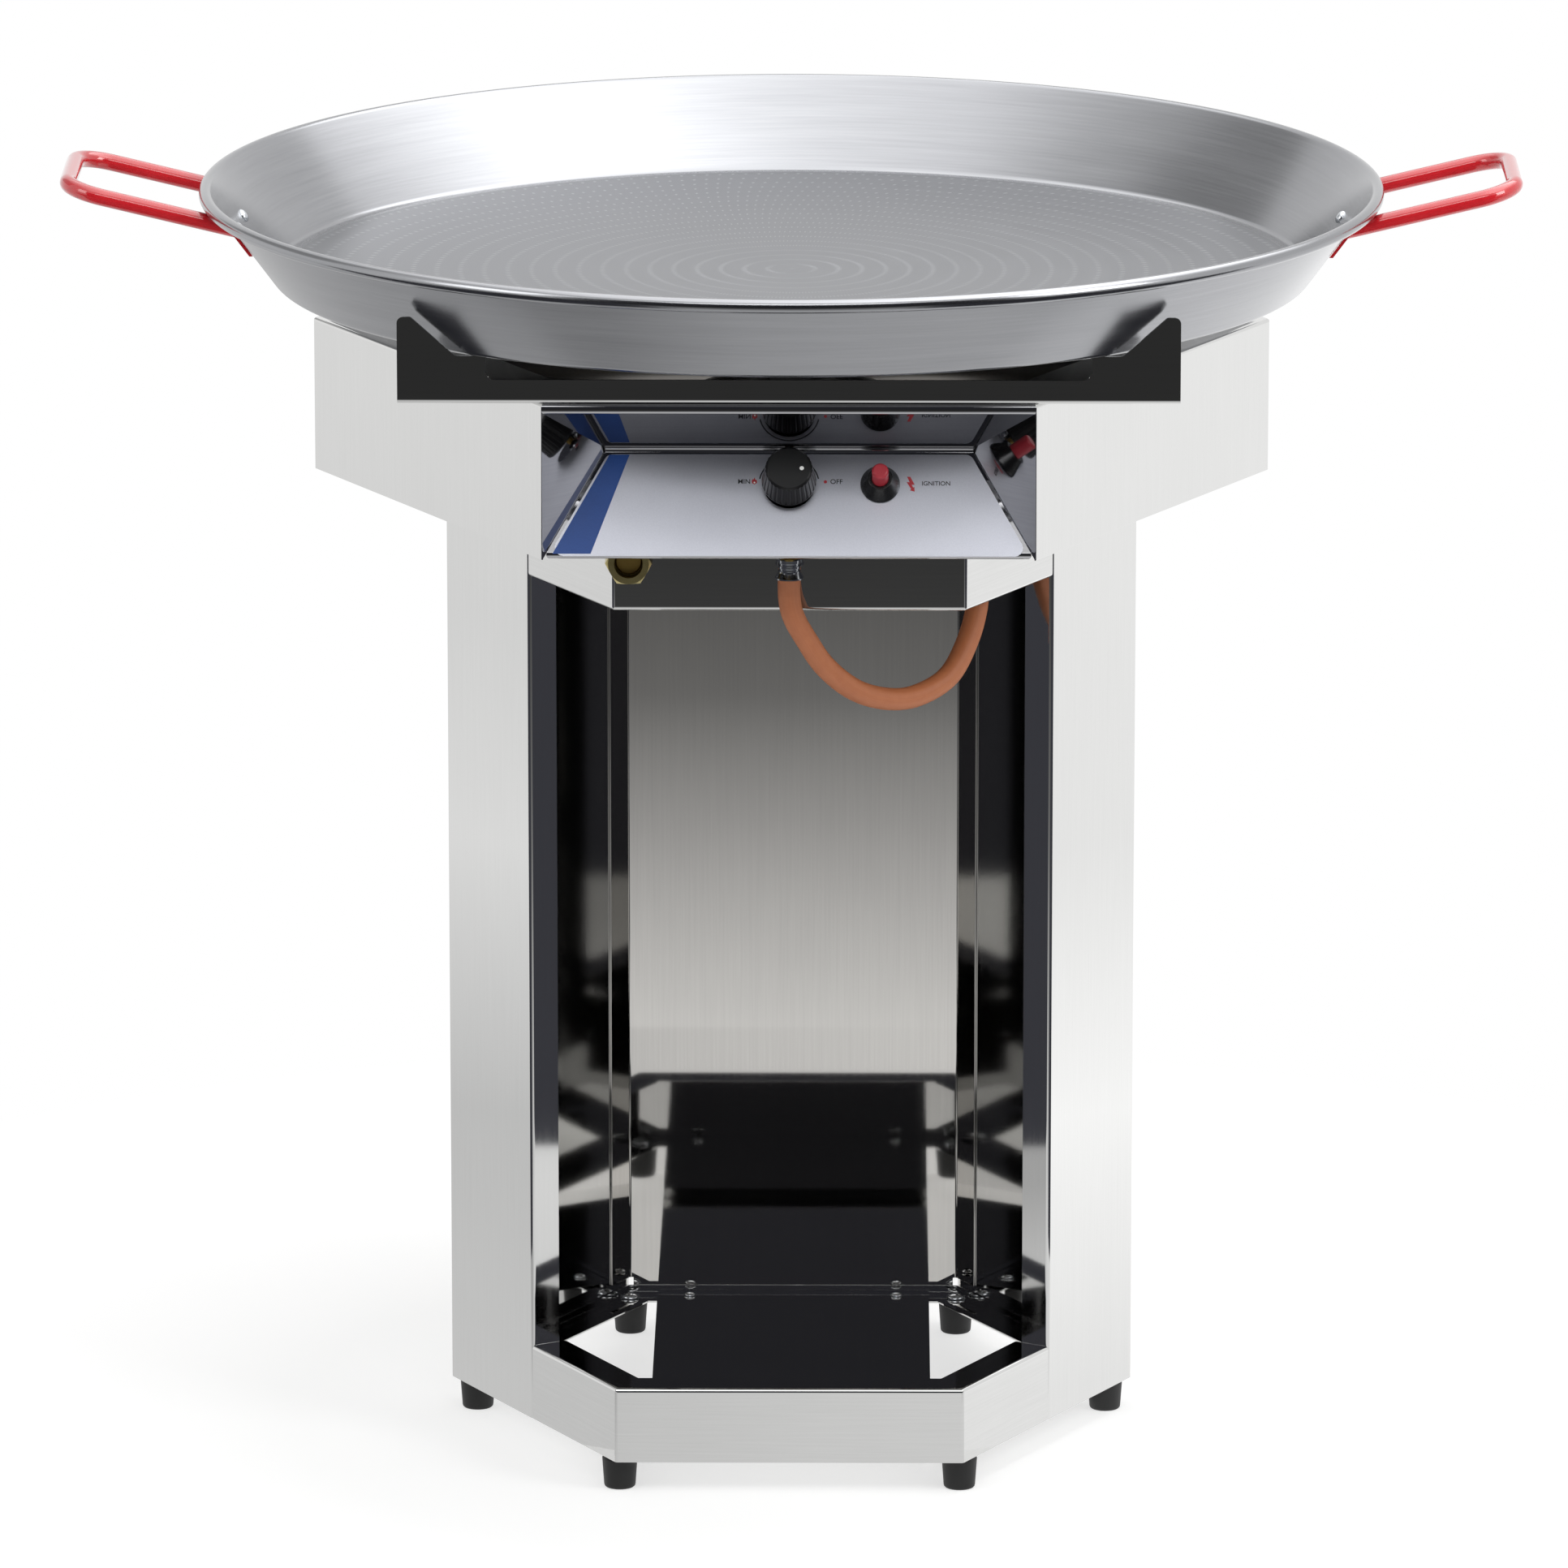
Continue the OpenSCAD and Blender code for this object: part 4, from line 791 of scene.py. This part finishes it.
@dataclass
class BurnerBox(SubAssembly):
    """Burner box with its folded recess, and the strips that carry the pan."""

    parts: dict[str, Dressing] = field(
        default_factory=lambda: {
            "burner_box_wall": Dressing(SIDE_SHEET, "box_sheet"),
            "control_recess": Dressing(RECESS_SHEET_PAINTED_SHADE, "recess_sheet"),
            "box_floor": Dressing(BRIGHT_SHEET, "inner_sheet"),
            "front_support": Dressing(BRIGHT_SHEET, "support_sheet"),
            "rear_support": Dressing(BRIGHT_SHEET, "support_sheet"),
        }
    )
    ring_screw_d: float = 0.006
    ring_r: float = 0.22091
    ring_z: float = 0.6662
    support_screw_d: float = 0.004
    support_x: float = 0.110
    support_y: float = 0.26259
    support_z: float = 0.772

    def build(self) -> None:
        """Builds the sheets of the box and its supports, then their screws."""
        self.dress_nodes()
        turns = [math.radians(60 * k) for k in range(6)]
        ring = tuple((self.ring_r * math.cos(a), self.ring_r * math.sin(a), self.ring_z) for a in turns)
        CrossScrew(self.ring_screw_d, ring).build("box_screws", self.body)
        x, y, z = self.support_x, self.support_y, self.support_z
        strip = tuple((i * x, j * y, z) for i in (-1, 0, 1) for j in (-1, 1))
        CrossScrew(self.support_screw_d, strip).build("support_screws", self.body)


@dataclass
class StarBurner(SubAssembly):
    """Star burner, its jet, its electrode and its flame sensor."""

    parts: dict[str, Dressing] = field(
        default_factory=lambda: {
            "burner_bar": Dressing(BURNER_STEEL, "burner_steel", Edge.TURNED),
            "burner_hub": Dressing(CAST_IRON, "burner_iron", Edge.TURNED),
            "burner_cap": Dressing(CAST_IRON, "burner_iron", Edge.TURNED),
            **{f"burner_arm_{k}": Dressing(BURNER_STEEL, "burner_steel", Edge.SHARP) for k in range(1, 7)},
            "mixer_tube": Dressing(BURNER_STEEL, "burner_steel", Edge.TURNED),
            "burner_inlet_elbow": Dressing(BRASS, "brass", Edge.TURNED),
            "electrode_bracket": Dressing(BURNER_STEEL, "burner_steel"),
            "spark_electrode": Dressing(CERAMIC, "ceramic", Edge.SHARP),
            "ignition_lead": Dressing(LEAD_SLEEVE, "lead_rubber", Edge.SHARP, BEND_ANGLE),
            "thermocouple": Dressing(COPPER, "copper", Edge.SHARP),
            "thermocouple_lead": Dressing(COPPER, "copper", Edge.SHARP, BEND_ANGLE),
        }
    )


@dataclass
class GasTap(SubAssembly):
    """Tap behind the panel with its inlet pipe and outlet nozzle, and the igniter beside it."""

    parts: dict[str, Dressing] = field(
        default_factory=lambda: {
            "tap_body": Dressing(BRASS, "brass", Edge.TURNED),
            "tap_bonnet": Dressing(BRASS, "brass", Edge.TURNED),
            "tap_screws": Dressing(BRIGHT_STEEL, "fasteners", Edge.SHARP),
            "outlet_nozzle": Dressing(BRASS, "brass", Edge.TURNED),
            "inlet_pipe": Dressing(BRASS, "brass", Edge.SHARP),
            "igniter_body": Dressing(COLLAR_PLASTIC, "igniter_plastic", Edge.TURNED),
            "igniter_collar": Dressing(COLLAR_PLASTIC, "igniter_plastic", Edge.TURNED),
        }
    )

    def build(self) -> None:
        """Builds the fixed parts, then the plug, the nut and the button on bodies of their own names."""
        self.dress_nodes()
        for node, finish, slot in (
            ("tap_plug", BRASS, "brass"),
            ("inlet_nut", NUT_PLATE, "nut_plate"),
            ("igniter_button", BUTTON_PLASTIC, "button_plastic"),
        ):
            dress(refined(node, Edge.TURNED), finish, node, slot, node)


@dataclass
class ControlPanel:
    """Marked plate in the recess, with the knob that turns before it.

    Places on the plate are to the right of its middle and up its slope from its foot.
    """

    face_y: float = -0.324 * math.cos(math.radians(30))
    face_z: float = 0.665
    recess: float = 0.046
    crease: float = 0.065
    rise: float = 0.054
    plate_t: float = 0.00045
    ink: float = 0.00008
    stripe: tuple[Pair, ...] = ((-0.1553, 0.0045), (-0.1302, 0.0045), (-0.1052, 0.0752), (-0.1184, 0.0752))
    low_at: Pair = (-0.0296, 0.0560)
    off_at: Pair = (0.0312, 0.0560)
    spark_at: Pair = (0.0968, 0.0548)
    tall_type: float = 0.0034
    small_type: float = 0.0031
    type_over_capitals: float = 1.38
    stroke: float = 0.00005
    arc_r: float = 0.0202
    arc_from: float = 12.0
    arc_to: float = 168.0
    arc_steps: int = 40
    line_w: float = 0.0009
    dot_at: Pair = (0.0239, 0.0560)
    dot_r: float = 0.0011
    dot_steps: int = 24
    flame_at: Pair = (-0.0228, 0.0563)
    flame: tuple[Pair, ...] = (
        (0.0, -0.0022), (0.0016, -0.0012), (0.0017, 0.0004), (0.0010, 0.0014), (0.0006, 0.0008),
        (0.0002, 0.0028), (-0.0008, 0.0012), (-0.0012, 0.0018), (-0.0018, 0.0002), (-0.0015, -0.0014),
    )
    heart_at: Pair = (-0.0228, 0.0554)
    heart_r: float = 0.0006
    bolt_at: Pair = (0.0800, 0.0544)
    bolt: tuple[Pair, ...] = (
        (-0.0023, 0.0053), (-0.0006, 0.0014), (-0.0026, 0.0016), (0.0004, -0.0035), (-0.0004, -0.0044),
        (0.0027, -0.0053), (0.0025, -0.0019), (0.0017, -0.0024), (0.0008, -0.0003), (0.0027, -0.0004),
        (-0.0002, 0.0053),
    )
    knob_top: float = 0.0284
    knob_mark_x: float = 0.0085
    knob_mark_r: float = 0.0014

    def frame(self) -> Matrix:
        """Returns the place of the panel: X to the right, Y up its slope, Z out of it."""
        tilt = math.atan2(self.crease, self.recess)
        return Matrix.Translation((0, self.face_y, self.face_z)) @ Matrix.Rotation(tilt, 4, "X")

    def lay(self, piece: Any, at: Pair, height: float) -> None:
        """Lays a flat piece on the panel.

        Args:
            piece: Flat piece made round the origin.
            at: Its place on the plate.
            height: Height above the panel's sheet.
        """
        settle(piece)
        piece.matrix_world = self.frame() @ Matrix.Translation((at[0], at[1], height))
        settle(piece)

    def print_on(self, piece: Any, ink: Finish, at: Pair = (0.0, 0.0), lift: float = 0.0) -> None:
        """Prints a flat shape on the plate.

        Args:
            piece: Flat shape made round the origin.
            ink: Ink that it is printed in.
            at: Its place on the plate.
            lift: Height above the plate's face.
        """
        self.lay(piece, at, self.plate_t + lift)
        dress(piece, ink, "stand", "label_face")

    def cut_out(self, name: str, outline: Sequence[Pair]) -> Any:
        """Makes a print from its outline.

        Args:
            name: Name of the piece.
            outline: Outline in metres.

        Returns:
            The print, with its underside on z = 0.
        """
        piece = traced(name, [(x, y, 0.0) for x, y in outline], filled=True)
        with editing(piece):
            bpy.ops.mesh.extrude_region_move(TRANSFORM_OT_translate={"value": (0, 0, self.ink)})
            bpy.ops.mesh.select_all(action="SELECT")
            bpy.ops.mesh.normals_make_consistent(inside=False)
        return piece

    def word(self, name: str, text: str, size: float, at: Pair) -> None:
        """Prints a word on the plate.

        Args:
            name: Name of the piece.
            text: The word.
            size: Height of its letters in metres.
            at: Its middle on the plate.
        """
        bpy.ops.object.text_add()
        piece = bpy.context.object
        piece.name = name
        piece.data.body = text
        piece.data.size = size * self.type_over_capitals
        piece.data.align_x = "CENTER"
        piece.data.align_y = "CENTER"
        piece.data.extrude = self.ink / 2
        piece.data.offset = self.stroke
        bpy.ops.object.convert(target="MESH")
        self.print_on(bpy.context.object, BLACK_INK, at, self.ink / 2)

    def turn_line(self) -> Any:
        """Makes the line round the knob that shows its turn.

        Returns:
            The line, made round the knob's axis.
        """
        share = (self.arc_to - self.arc_from) / self.arc_steps
        angles = [math.radians(self.arc_from + share * i) for i in range(self.arc_steps + 1)]
        outer = [(self.arc_r * math.cos(a), self.arc_r * math.sin(a)) for a in angles]
        inner_r = self.arc_r - self.line_w
        inner = [(inner_r * math.cos(a), inner_r * math.sin(a)) for a in reversed(angles)]
        return self.cut_out("turn_line", outer + inner)

    def spot(self, name: str, r: float) -> Any:
        """Returns a round print of a radius in metres."""
        angles = [2 * math.pi * i / self.dot_steps for i in range(self.dot_steps)]
        return self.cut_out(name, [(r * math.cos(a), r * math.sin(a)) for a in angles])

    def build(self) -> None:
        """Builds the plate, its prints and the knob."""
        dress(refined("control_label", Edge.SHARP), LABEL_FACE, "stand", "label_face", "control_label")
        self.print_on(self.cut_out("stripe", self.stripe), STRIPE_INK)
        self.word("word_low", "MIN", self.tall_type, self.low_at)
        self.word("word_off", "OFF", self.tall_type, self.off_at)
        self.word("word_spark", "IGNITION", self.small_type, self.spark_at)
        self.print_on(self.turn_line(), BLACK_INK, (0.0, self.rise))
        self.print_on(self.spot("off_dot", self.dot_r), RED_INK, self.dot_at)
        self.print_on(self.cut_out("low_flame", self.flame), RED_INK, self.flame_at)
        self.print_on(self.spot("flame_heart", self.heart_r), WHITE_INK, self.heart_at, self.ink)
        self.print_on(self.cut_out("spark_bolt", self.bolt), RED_INK, self.bolt_at)
        dress(refined("tap_stem", Edge.SHARP), BRASS, "knob", "brass", "tap_stem")
        dress(refined("control_knob", Edge.TURNED), KNOB_PLASTIC, "knob", "knob_plastic", "control_knob")
        mark = self.spot("knob_mark", self.knob_mark_r)
        self.lay(mark, (self.knob_mark_x, self.rise), self.knob_top)
        dress(mark, WHITE_INK, "knob", "knob_plastic")


@dataclass
class GasHose:
    """Rubber hose that hangs in a loop from the tap's outlet to the burner's inlet.

    Each point of its way is a share of the run in X, a share of the run in Y, and a height in metres.
    """

    diameter: float = 0.015
    start: Point = (0.0, -0.22472, 0.6424)
    end: Point = (0.12516, -0.12087, 0.6244)
    way: tuple[Point, ...] = (
        (0.0, 0.0, 0.628), (0.02, 0.0, 0.615), (0.08, 0.03, 0.600), (0.19, 0.09, 0.578),
        (0.35, 0.21, 0.559), (0.53, 0.37, 0.549), (0.69, 0.53, 0.548), (0.85, 0.70, 0.557),
        (0.95, 0.86, 0.577), (1.0, 0.96, 0.598), (1.0, 1.0, 0.612),
    )
    steps: int = 6
    sides: int = 8
    seat_gap: float = 0.0006
    play: float = 0.0003
    # A ferrule's flared mouth as distances beyond its lip, and its neck beyond the hose, with their heights.
    mouth: tuple[Pair, ...] = ((-0.0006, 0.0), (0.0, 0.0004), (0.0, 0.0011), (-0.0004, 0.0015))
    neck: tuple[Pair, ...] = ((0.0004, 0.0040), (0.0, 0.0046))
    crimp: float = 0.0006
    crimps: Pair = (0.0058, 0.0092)
    crimp_w: float = 0.0012
    flank: float = 0.0004
    chamfer: float = 0.0007
    ferrule_steps: int = 48

    def route(self) -> list[Vector]:
        """Draws the hose's own points, as in the CAD part.

        Returns:
            The points in metres, from the tap's outlet to the burner's inlet.
        """
        run = [b - a for a, b in zip(self.start, self.end)]
        between = [(self.start[0] + u * run[0], self.start[1] + v * run[1], z) for u, v, z in self.way]
        return [Vector(p) for p in (self.start, *between, self.end)]

    def line(self) -> list[Vector]:
        """Draws the smooth curve through the route.

        Returns:
            Close points on the curve.
        """
        p = self.route()
        last = len(p) - 1
        points = []
        for i in range(last):
            a, b, c, d = p[max(i - 1, 0)], p[i], p[i + 1], p[min(i + 2, last)]
            square = 2 * a - 5 * b + 4 * c - d
            cube = 3 * b - a - 3 * c + d
            for k in range(self.steps):
                s = k / self.steps
                points.append(0.5 * (2 * b + s * (c - a) + s * s * square + s**3 * cube))
        return points + [p[last]]

    def ferrule(self, node: str, hose_end: Point) -> Any:
        """Turns a crimped ferrule over one end of the hose.

        Args:
            node: CAD node that it stands for.
            hose_end: End of the hose inside it.

        Returns:
            The ferrule, in place.
        """
        low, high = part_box(node)
        base = low[2]
        tall = high[2] - low[2]
        lip = (high[0] - low[0]) / 2
        wall = self.diameter / 2
        seat = hose_end[2] - base + self.seat_gap
        bore = wall + self.play
        waist = wall - self.crimp
        # The seat, the flared mouth, the crimps of the sleeve and its chamfered end.
        section = [(0.0, seat), (bore, seat), (bore, 0.0)]
        section += [(lip + x, z) for x, z in self.mouth]
        section += [(wall + x, z) for x, z in self.neck]
        for foot in self.crimps:
            floor = foot + self.flank
            top = floor + self.crimp_w
            section += [(wall, foot), (waist, floor), (waist, top), (wall, top + self.flank)]
        section += [(wall, tall - self.chamfer), (wall - self.chamfer, tall), (0.0, tall)]
        piece = turned(f"{node}_crimped", section, self.ferrule_steps)
        piece.matrix_world = Matrix.Translation(((low[0] + high[0]) / 2, (low[1] + high[1]) / 2, base))
        settle(piece)
        return piece

    def build(self) -> None:
        """Builds the hose as one curve, with a crimped ferrule over each end."""
        points = self.line()
        curve = bpy.data.curves.new("gas_hose_tube", "CURVE")
        curve.dimensions = "3D"
        curve.bevel_depth = self.diameter / 2
        curve.bevel_resolution = self.sides
        curve.use_fill_caps = True
        spline = curve.splines.new("POLY")
        spline.points.add(len(points) - 1)
        for target, p in zip(spline.points, points):
            target.co = (*p, 1.0)
        spline.use_smooth = True
        piece = linked("gas_hose_tube", curve)
        dress(piece, HOSE_RUBBER, "stand", "hose_rubber", "gas_hose")
        for node, foot in (("front_ferrule", self.start), ("rear_ferrule", self.end)):
            dress(self.ferrule(node, foot), BRIGHT_STEEL, "stand", "ferrule_steel", node)


@dataclass
class Pan:
    """Wide spun pan with a rolled rim and two riveted handles."""

    base_z: float = 0.802
    rim_d: float = 0.800
    floor_d: float = 0.700
    floor_loops: Pair = (0.12, 0.24)
    height: float = 0.0615
    sheet: float = 0.0015
    bead: float = 0.009
    knuckle: float = 0.008
    turns: int = 224
    arc_steps: int = 10
    roll_steps: int = 28

    def corner(self, slope: float, radius: float, lift: float) -> list[Pair]:
        """Rounds the corner between floor and wall.

        Args:
            slope: Slope of the wall in radians.
            radius: Radius of the corner.
            lift: Height of this face of the sheet above the lower one.

        Returns:
            Radius and height of the corner's points, from floor to wall.
        """
        half = math.tan(slope / 2)
        centre = (self.floor_d / 2 - lift * half - radius * half, lift + radius)
        angles = [slope * i / self.arc_steps for i in range(self.arc_steps + 1)]
        return [(centre[0] + radius * math.sin(a), centre[1] - radius * math.cos(a)) for a in angles]

    def section(self) -> list[Pair]:
        """Draws the section of the pan.

        Returns:
            Radius and height of its points, from the axis below, over the rim and back to the axis.
        """
        r = self.bead / 2
        head = Vector((self.rim_d / 2 - r, self.height - r))
        foot = Vector((self.floor_d / 2, 0.0))
        span = head - foot
        # The rim rolls outwards, so its middle lies beside the wall's line and the inside runs on smoothly.
        beside = r - self.sheet
        slope = math.atan2(span.y, span.x) + math.asin(beside / span.length)
        run = math.sqrt(span.length**2 - beside**2) - math.sqrt(r**2 - beside**2)
        wall_end = foot + run * Vector((math.cos(slope), math.sin(slope)))
        start = math.atan2(wall_end.y - head.y, wall_end.x - head.x)
        turn = math.pi / 2 + slope - start
        angles = [start + turn * i / self.roll_steps for i in range(self.roll_steps + 1)]
        roll = [(head.x + r * math.cos(a), head.y + r * math.sin(a)) for a in angles]
        loops = (0.0, *self.floor_loops)
        below = [(x, 0.0) for x in loops] + self.corner(slope, self.knuckle, 0.0)
        above = [(x, self.sheet) for x in loops]
        above += self.corner(slope, self.knuckle - self.sheet, self.sheet)
        return below + roll + above[::-1]

    def build(self) -> None:
        """Spins the bowl and dresses the handles and rivets."""
        section = [(r, self.base_z + z) for r, z in self.section()]
        bowl = turned("pan_bowl_spun", section, self.turns)
        dress(bowl, PAN_STEEL, "pan", "pan_steel", "pan_bowl")
        for node in ("left_handle", "right_handle"):
            dress(refined(node, Edge.TURNED, TURN_ANGLE), RED_ENAMEL, "pan", "handle_enamel", node)
        rivets = refined("handle_rivets", Edge.SHARP, TURN_ANGLE)
        dress(rivets, BRIGHT_STEEL, "pan", "fasteners", "handle_rivets")


@dataclass
class Studio:
    """Camera, pale floor, soft lamps, and glowing cloths and cards that only reflections show, some painted
    with the floor's shadow and light and with a softbox.
    """

    camera_at: Point = (0.0516, -8.0281, 2.4357)
    pitch: float = 13.931
    yaw: float = 0.4046
    lens: float = 277.74
    sensor: float = 36.0
    clip_end: float = 100.0
    room_light: float = 0.55
    floor_size: float = 30.0
    paper: str = "#f2f2f1"
    # The floor shows shadows within the first radius and is plain white from the second on.
    shadow_r: float = 0.35
    white_r: float = 0.95
    shadow_glow: float = 1.42
    shadow_share: float = 0.42

    def camera(self) -> None:
        """Sets the camera to the photograph's place, direction and lens."""
        data = bpy.data.cameras.new("camera")
        data.lens = self.lens
        data.sensor_width = self.sensor
        data.clip_end = self.clip_end
        view = linked("camera", data)
        view.location = self.camera_at
        view.rotation_euler = (math.radians(90 - self.pitch), 0.0, math.radians(self.yaw))
        bpy.context.scene.camera = view

    def seen(self, tree: Any) -> Any:
        """Finds the rays that show the background.

        Args:
            tree: Node tree that asks.

        Returns:
            A node that is 1 for rays from the camera, off gloss or through glass, and 0 for the rest.
        """
        path = put(tree, "ShaderNodeLightPath").outputs
        added = {"operation": "ADD", "use_clamp": True}
        first = put(tree, "ShaderNodeMath", {0: path["Is Camera Ray"], 1: path["Is Glossy Ray"]}, **added)
        return put(tree, "ShaderNodeMath", {0: first, 1: path["Is Transmission Ray"]}, **added)

    def world(self) -> None:
        """Makes a white surround that lights the object softly."""
        world = bpy.data.worlds.new("studio")
        bpy.context.scene.world = world
        tree = bare_tree(world)
        levels = {"To Min": self.room_light, "To Max": 1.0}
        strength = put(tree, "ShaderNodeMapRange", {"Value": self.seen(tree), **levels})
        glow = put(tree, "ShaderNodeBackground", {"Color": linear(WHITE), "Strength": strength})
        put(tree, "ShaderNodeOutputWorld", {"Surface": glow})

    def floor(self) -> None:
        """Makes the floor: paper with the object's shadow on it, plain white further away."""
        piece = plane("floor", self.floor_size)
        made = bpy.data.materials.new("paper_floor")
        tree = bare_tree(made)
        paper = put(tree, "ShaderNodeBsdfDiffuse", {"Color": linear(self.paper)})
        place = put(tree, "ShaderNodeTexCoord").outputs["Object"]
        reach = put(tree, "ShaderNodeVectorMath", {0: place}, operation="LENGTH").outputs["Value"]
        near = {"Value": reach, "From Min": self.shadow_r, "From Max": self.white_r}
        level = put(tree, "ShaderNodeMapRange", {**near, "To Min": self.shadow_glow, "To Max": 1.0})
        weight = put(tree, "ShaderNodeMapRange", {**near, "To Min": self.shadow_share, "To Max": 1.0})
        glow = put(tree, "ShaderNodeEmission", {"Color": linear(WHITE), "Strength": level})
        share = put(tree, "ShaderNodeMath", {0: self.seen(tree), 1: weight}, operation="MULTIPLY")
        both = put(tree, "ShaderNodeMixShader", {0: share, 1: paper, 2: glow})
        put(tree, "ShaderNodeOutputMaterial", {"Surface": both})
        piece.data.materials.append(made)

    def unlit(self, piece: Any, tint: str, glow: Callable[[Any], Any]) -> None:
        """Makes a stage piece that only reflections show.

        Args:
            piece: Plane of the stage.
            tint: Colour of its light.
            glow: Function that takes the node tree and returns the strength of its light.
        """
        made = bpy.data.materials.new(piece.name)
        tree = bare_tree(made)
        shader = put(tree, "ShaderNodeEmission", {"Color": linear(tint), "Strength": glow(tree)})
        put(tree, "ShaderNodeOutputMaterial", {"Surface": shader})
        piece.data.materials.append(made)
        piece.visible_camera = False
        piece.visible_diffuse = False
        piece.visible_shadow = False

    def cloth(
        self, name: str, low: Pair, high: Pair, axis: str, stops: Sequence[Pair], height: float = MM
    ) -> None:
        """Lays a level cloth that only reflections show, paler and darker along one axis.

        Args:
            name: Name of the cloth.
            low: Its corner with the least X and Y.
            high: Its corner with the most X and Y.
            axis: Axis along which its brightness changes.
            stops: Places on that axis in rising order, each with the brightness there.
            height: Its height above the floor.
        """
        piece = plane(name, at=((low[0] + high[0]) / 2, (low[1] + high[1]) / 2, height))
        piece.scale = (high[0] - low[0], high[1] - low[1], 1.0)
        settle(piece)
        first, last = stops[0][0], stops[-1][0]

        def fade(tree: Any) -> Any:
            """Spreads the cloth's brightness along its axis.

            Args:
                tree: Node tree of the cloth.

            Returns:
                The node with its brightness.
            """
            place = put(tree, "ShaderNodeTexCoord").outputs["Object"]
            split = put(tree, "ShaderNodeSeparateXYZ", {"Vector": place}).outputs
            span = {"From Min": first, "From Max": last}
            along = put(tree, "ShaderNodeMapRange", {"Value": split[axis], **span})
            ramp = put(tree, "ShaderNodeValToRGB", {"Fac": along})
            marks = ramp.color_ramp.elements
            for at, _ in stops[1:-1]:
                marks.new((at - first) / (last - first))
            for mark, (_, level) in zip(marks, stops):
                mark.color = (level, level, level, 1.0)
            return ramp

        self.unlit(piece, WHITE, fade)

    def card(
        self, name: str, at: Point, size: Pair, turn: float, level: float, tint: str = ROOM_TINT
    ) -> None:
        """Stands a card that only reflections show.

        Args:
            name: Name of the card.
            at: Middle of its lower edge.
            size: Width and height in metres.
            turn: Turn round the upright axis in degrees, 0 facing the front of the object.
            level: Its brightness.
            tint: Colour of its light.
        """
        piece = plane(name)
        piece.scale = (size[0], size[1], 1.0)
        piece.rotation_euler = (math.radians(90), 0.0, math.radians(turn))
        piece.location = (at[0], at[1], at[2] + size[1] / 2)
        self.unlit(piece, tint, lambda tree: level)

    def lamp(self, name: str, at: Point, aim: Point, size: Pair, power: float, mirrored: bool = True) -> None:
        """Hangs a soft lamp.

        Args:
            name: Name of the lamp.
            at: Its place.
            aim: The point that it faces.
            size: Width and height in metres.
            power: Power in watts.
            mirrored: Whether reflections show it.
        """
        data = bpy.data.lights.new(name, "AREA")
        data.shape = "RECTANGLE"
        data.size, data.size_y = size
        data.energy = power
        lamp = linked(name, data)
        lamp.location = at
        lamp.rotation_euler = (Vector(aim) - Vector(at)).to_track_quat("-Z", "Y").to_euler()
        lamp.visible_glossy = mirrored

    def build(self) -> None:
        """Sets the stage round the object."""
        bpy.context.scene.view_settings.view_transform = "Standard"
        self.world()
        self.floor()
        # The front cloth glows brightest near the stand and fades away from it: painted fall-off of light
        # across the floor in front, seen only in reflections.
        away = ((-3.5, 0.033), (-2.804, 0.055), (-1.702, 0.20), (-1.25, 0.46), (-0.6, 0.88))
        # The glowing sheets near the stand and to its left and right are darker to the left and brighter to
        # the right: the floor's painted shadow and painted light, seen only in reflections.
        near = ((-0.4, 0.5), (-0.1, 0.8), (0.1, 0.86), (0.4, 0.92))
        left = ((-3.2, 0.94), (-2.3, 0.89), (-1.6, 0.97), (-0.9, 0.7), (-0.3, 0.76))
        right = ((0.3, 1.08), (0.9, 1.3), (1.6, 1.1), (3.2, 1.12))
        # The ceiling cloth glows in a band up to several times white: a painted softbox, seen only in
        # reflections.
        above = (
            (-2.1, 0.8), (-1.5, 1.15), (-0.9, 2.0), (-0.3, 2.3), (0.2, 2.75), (0.8, 3.5),
            (1.4, 3.6), (1.85, 2.9), (2.55, 1.6), (3.2, 1.2), (3.7, 1.0),
        )
        self.cloth("front_floor_falloff_glow", (-6.0, -8.2), (6.0, -0.6), "Y", away)
        self.cloth("near_floor_shadow_glow", (-1.2, -0.6), (1.2, -0.19), "X", near)
        self.cloth("left_floor_shadow_glow", (-6.0, -0.19), (-0.2, 6.0), "X", left)
        self.cloth("right_floor_light_glow", (0.2, -0.19), (6.0, 6.0), "X", right)
        self.cloth("ceiling_softbox_glow", (-2.1, -1.3), (3.7, 2.6), "X", above, height=2.9)
        self.card("far_room", at=(0.0, -7.4, 0.0), size=(14.0, 6.2), turn=0.0, level=0.038)
        self.card("side_room", at=(-2.5, 1.8, 1.6), size=(2.9, 2.6), turn=90.0, level=0.48, tint=WHITE)
        self.card("left_card", at=(-0.493, -0.478, 0.0), size=(0.7, 0.75), turn=-60.0, level=0.062)
        self.card("right_card", at=(0.493, -0.478, 0.0), size=(0.7, 0.75), turn=60.0, level=0.062)
        middle = (0.0, 0.0, 0.6)
        pan = (0.0, 0.2, 0.8)
        panel = (0.0, -0.26, 0.7)
        self.lamp("top_lamp", at=(0.85, -0.25, 2.9), aim=pan, size=(1.9, 0.8), power=18.0, mirrored=False)
        self.lamp("left_lamp", at=(-2.6, -1.6, 2.2), aim=middle, size=(1.2, 1.6), power=14.0)
        self.lamp("right_lamp", at=(2.6, -1.6, 2.2), aim=middle, size=(1.2, 1.6), power=34.0)
        self.lamp("front_lamp", at=(0.0, -2.6, 2.8), aim=panel, size=(2.2, 0.6), power=11.5)


def main() -> None:
    """Builds the stage and every sub-assembly in order."""
    logging.basicConfig(level=logging.INFO, format="%(message)s")
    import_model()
    studio = Studio()
    studio.camera()
    GasHose().build()
    for group in (Stand(), BurnerBox(), StarBurner(), GasTap(), ControlPanel(), Pan()):
        group.build()
        LOG.info("%s built", type(group).__name__)
    studio.build()


if __name__ == "__main__":
    main()
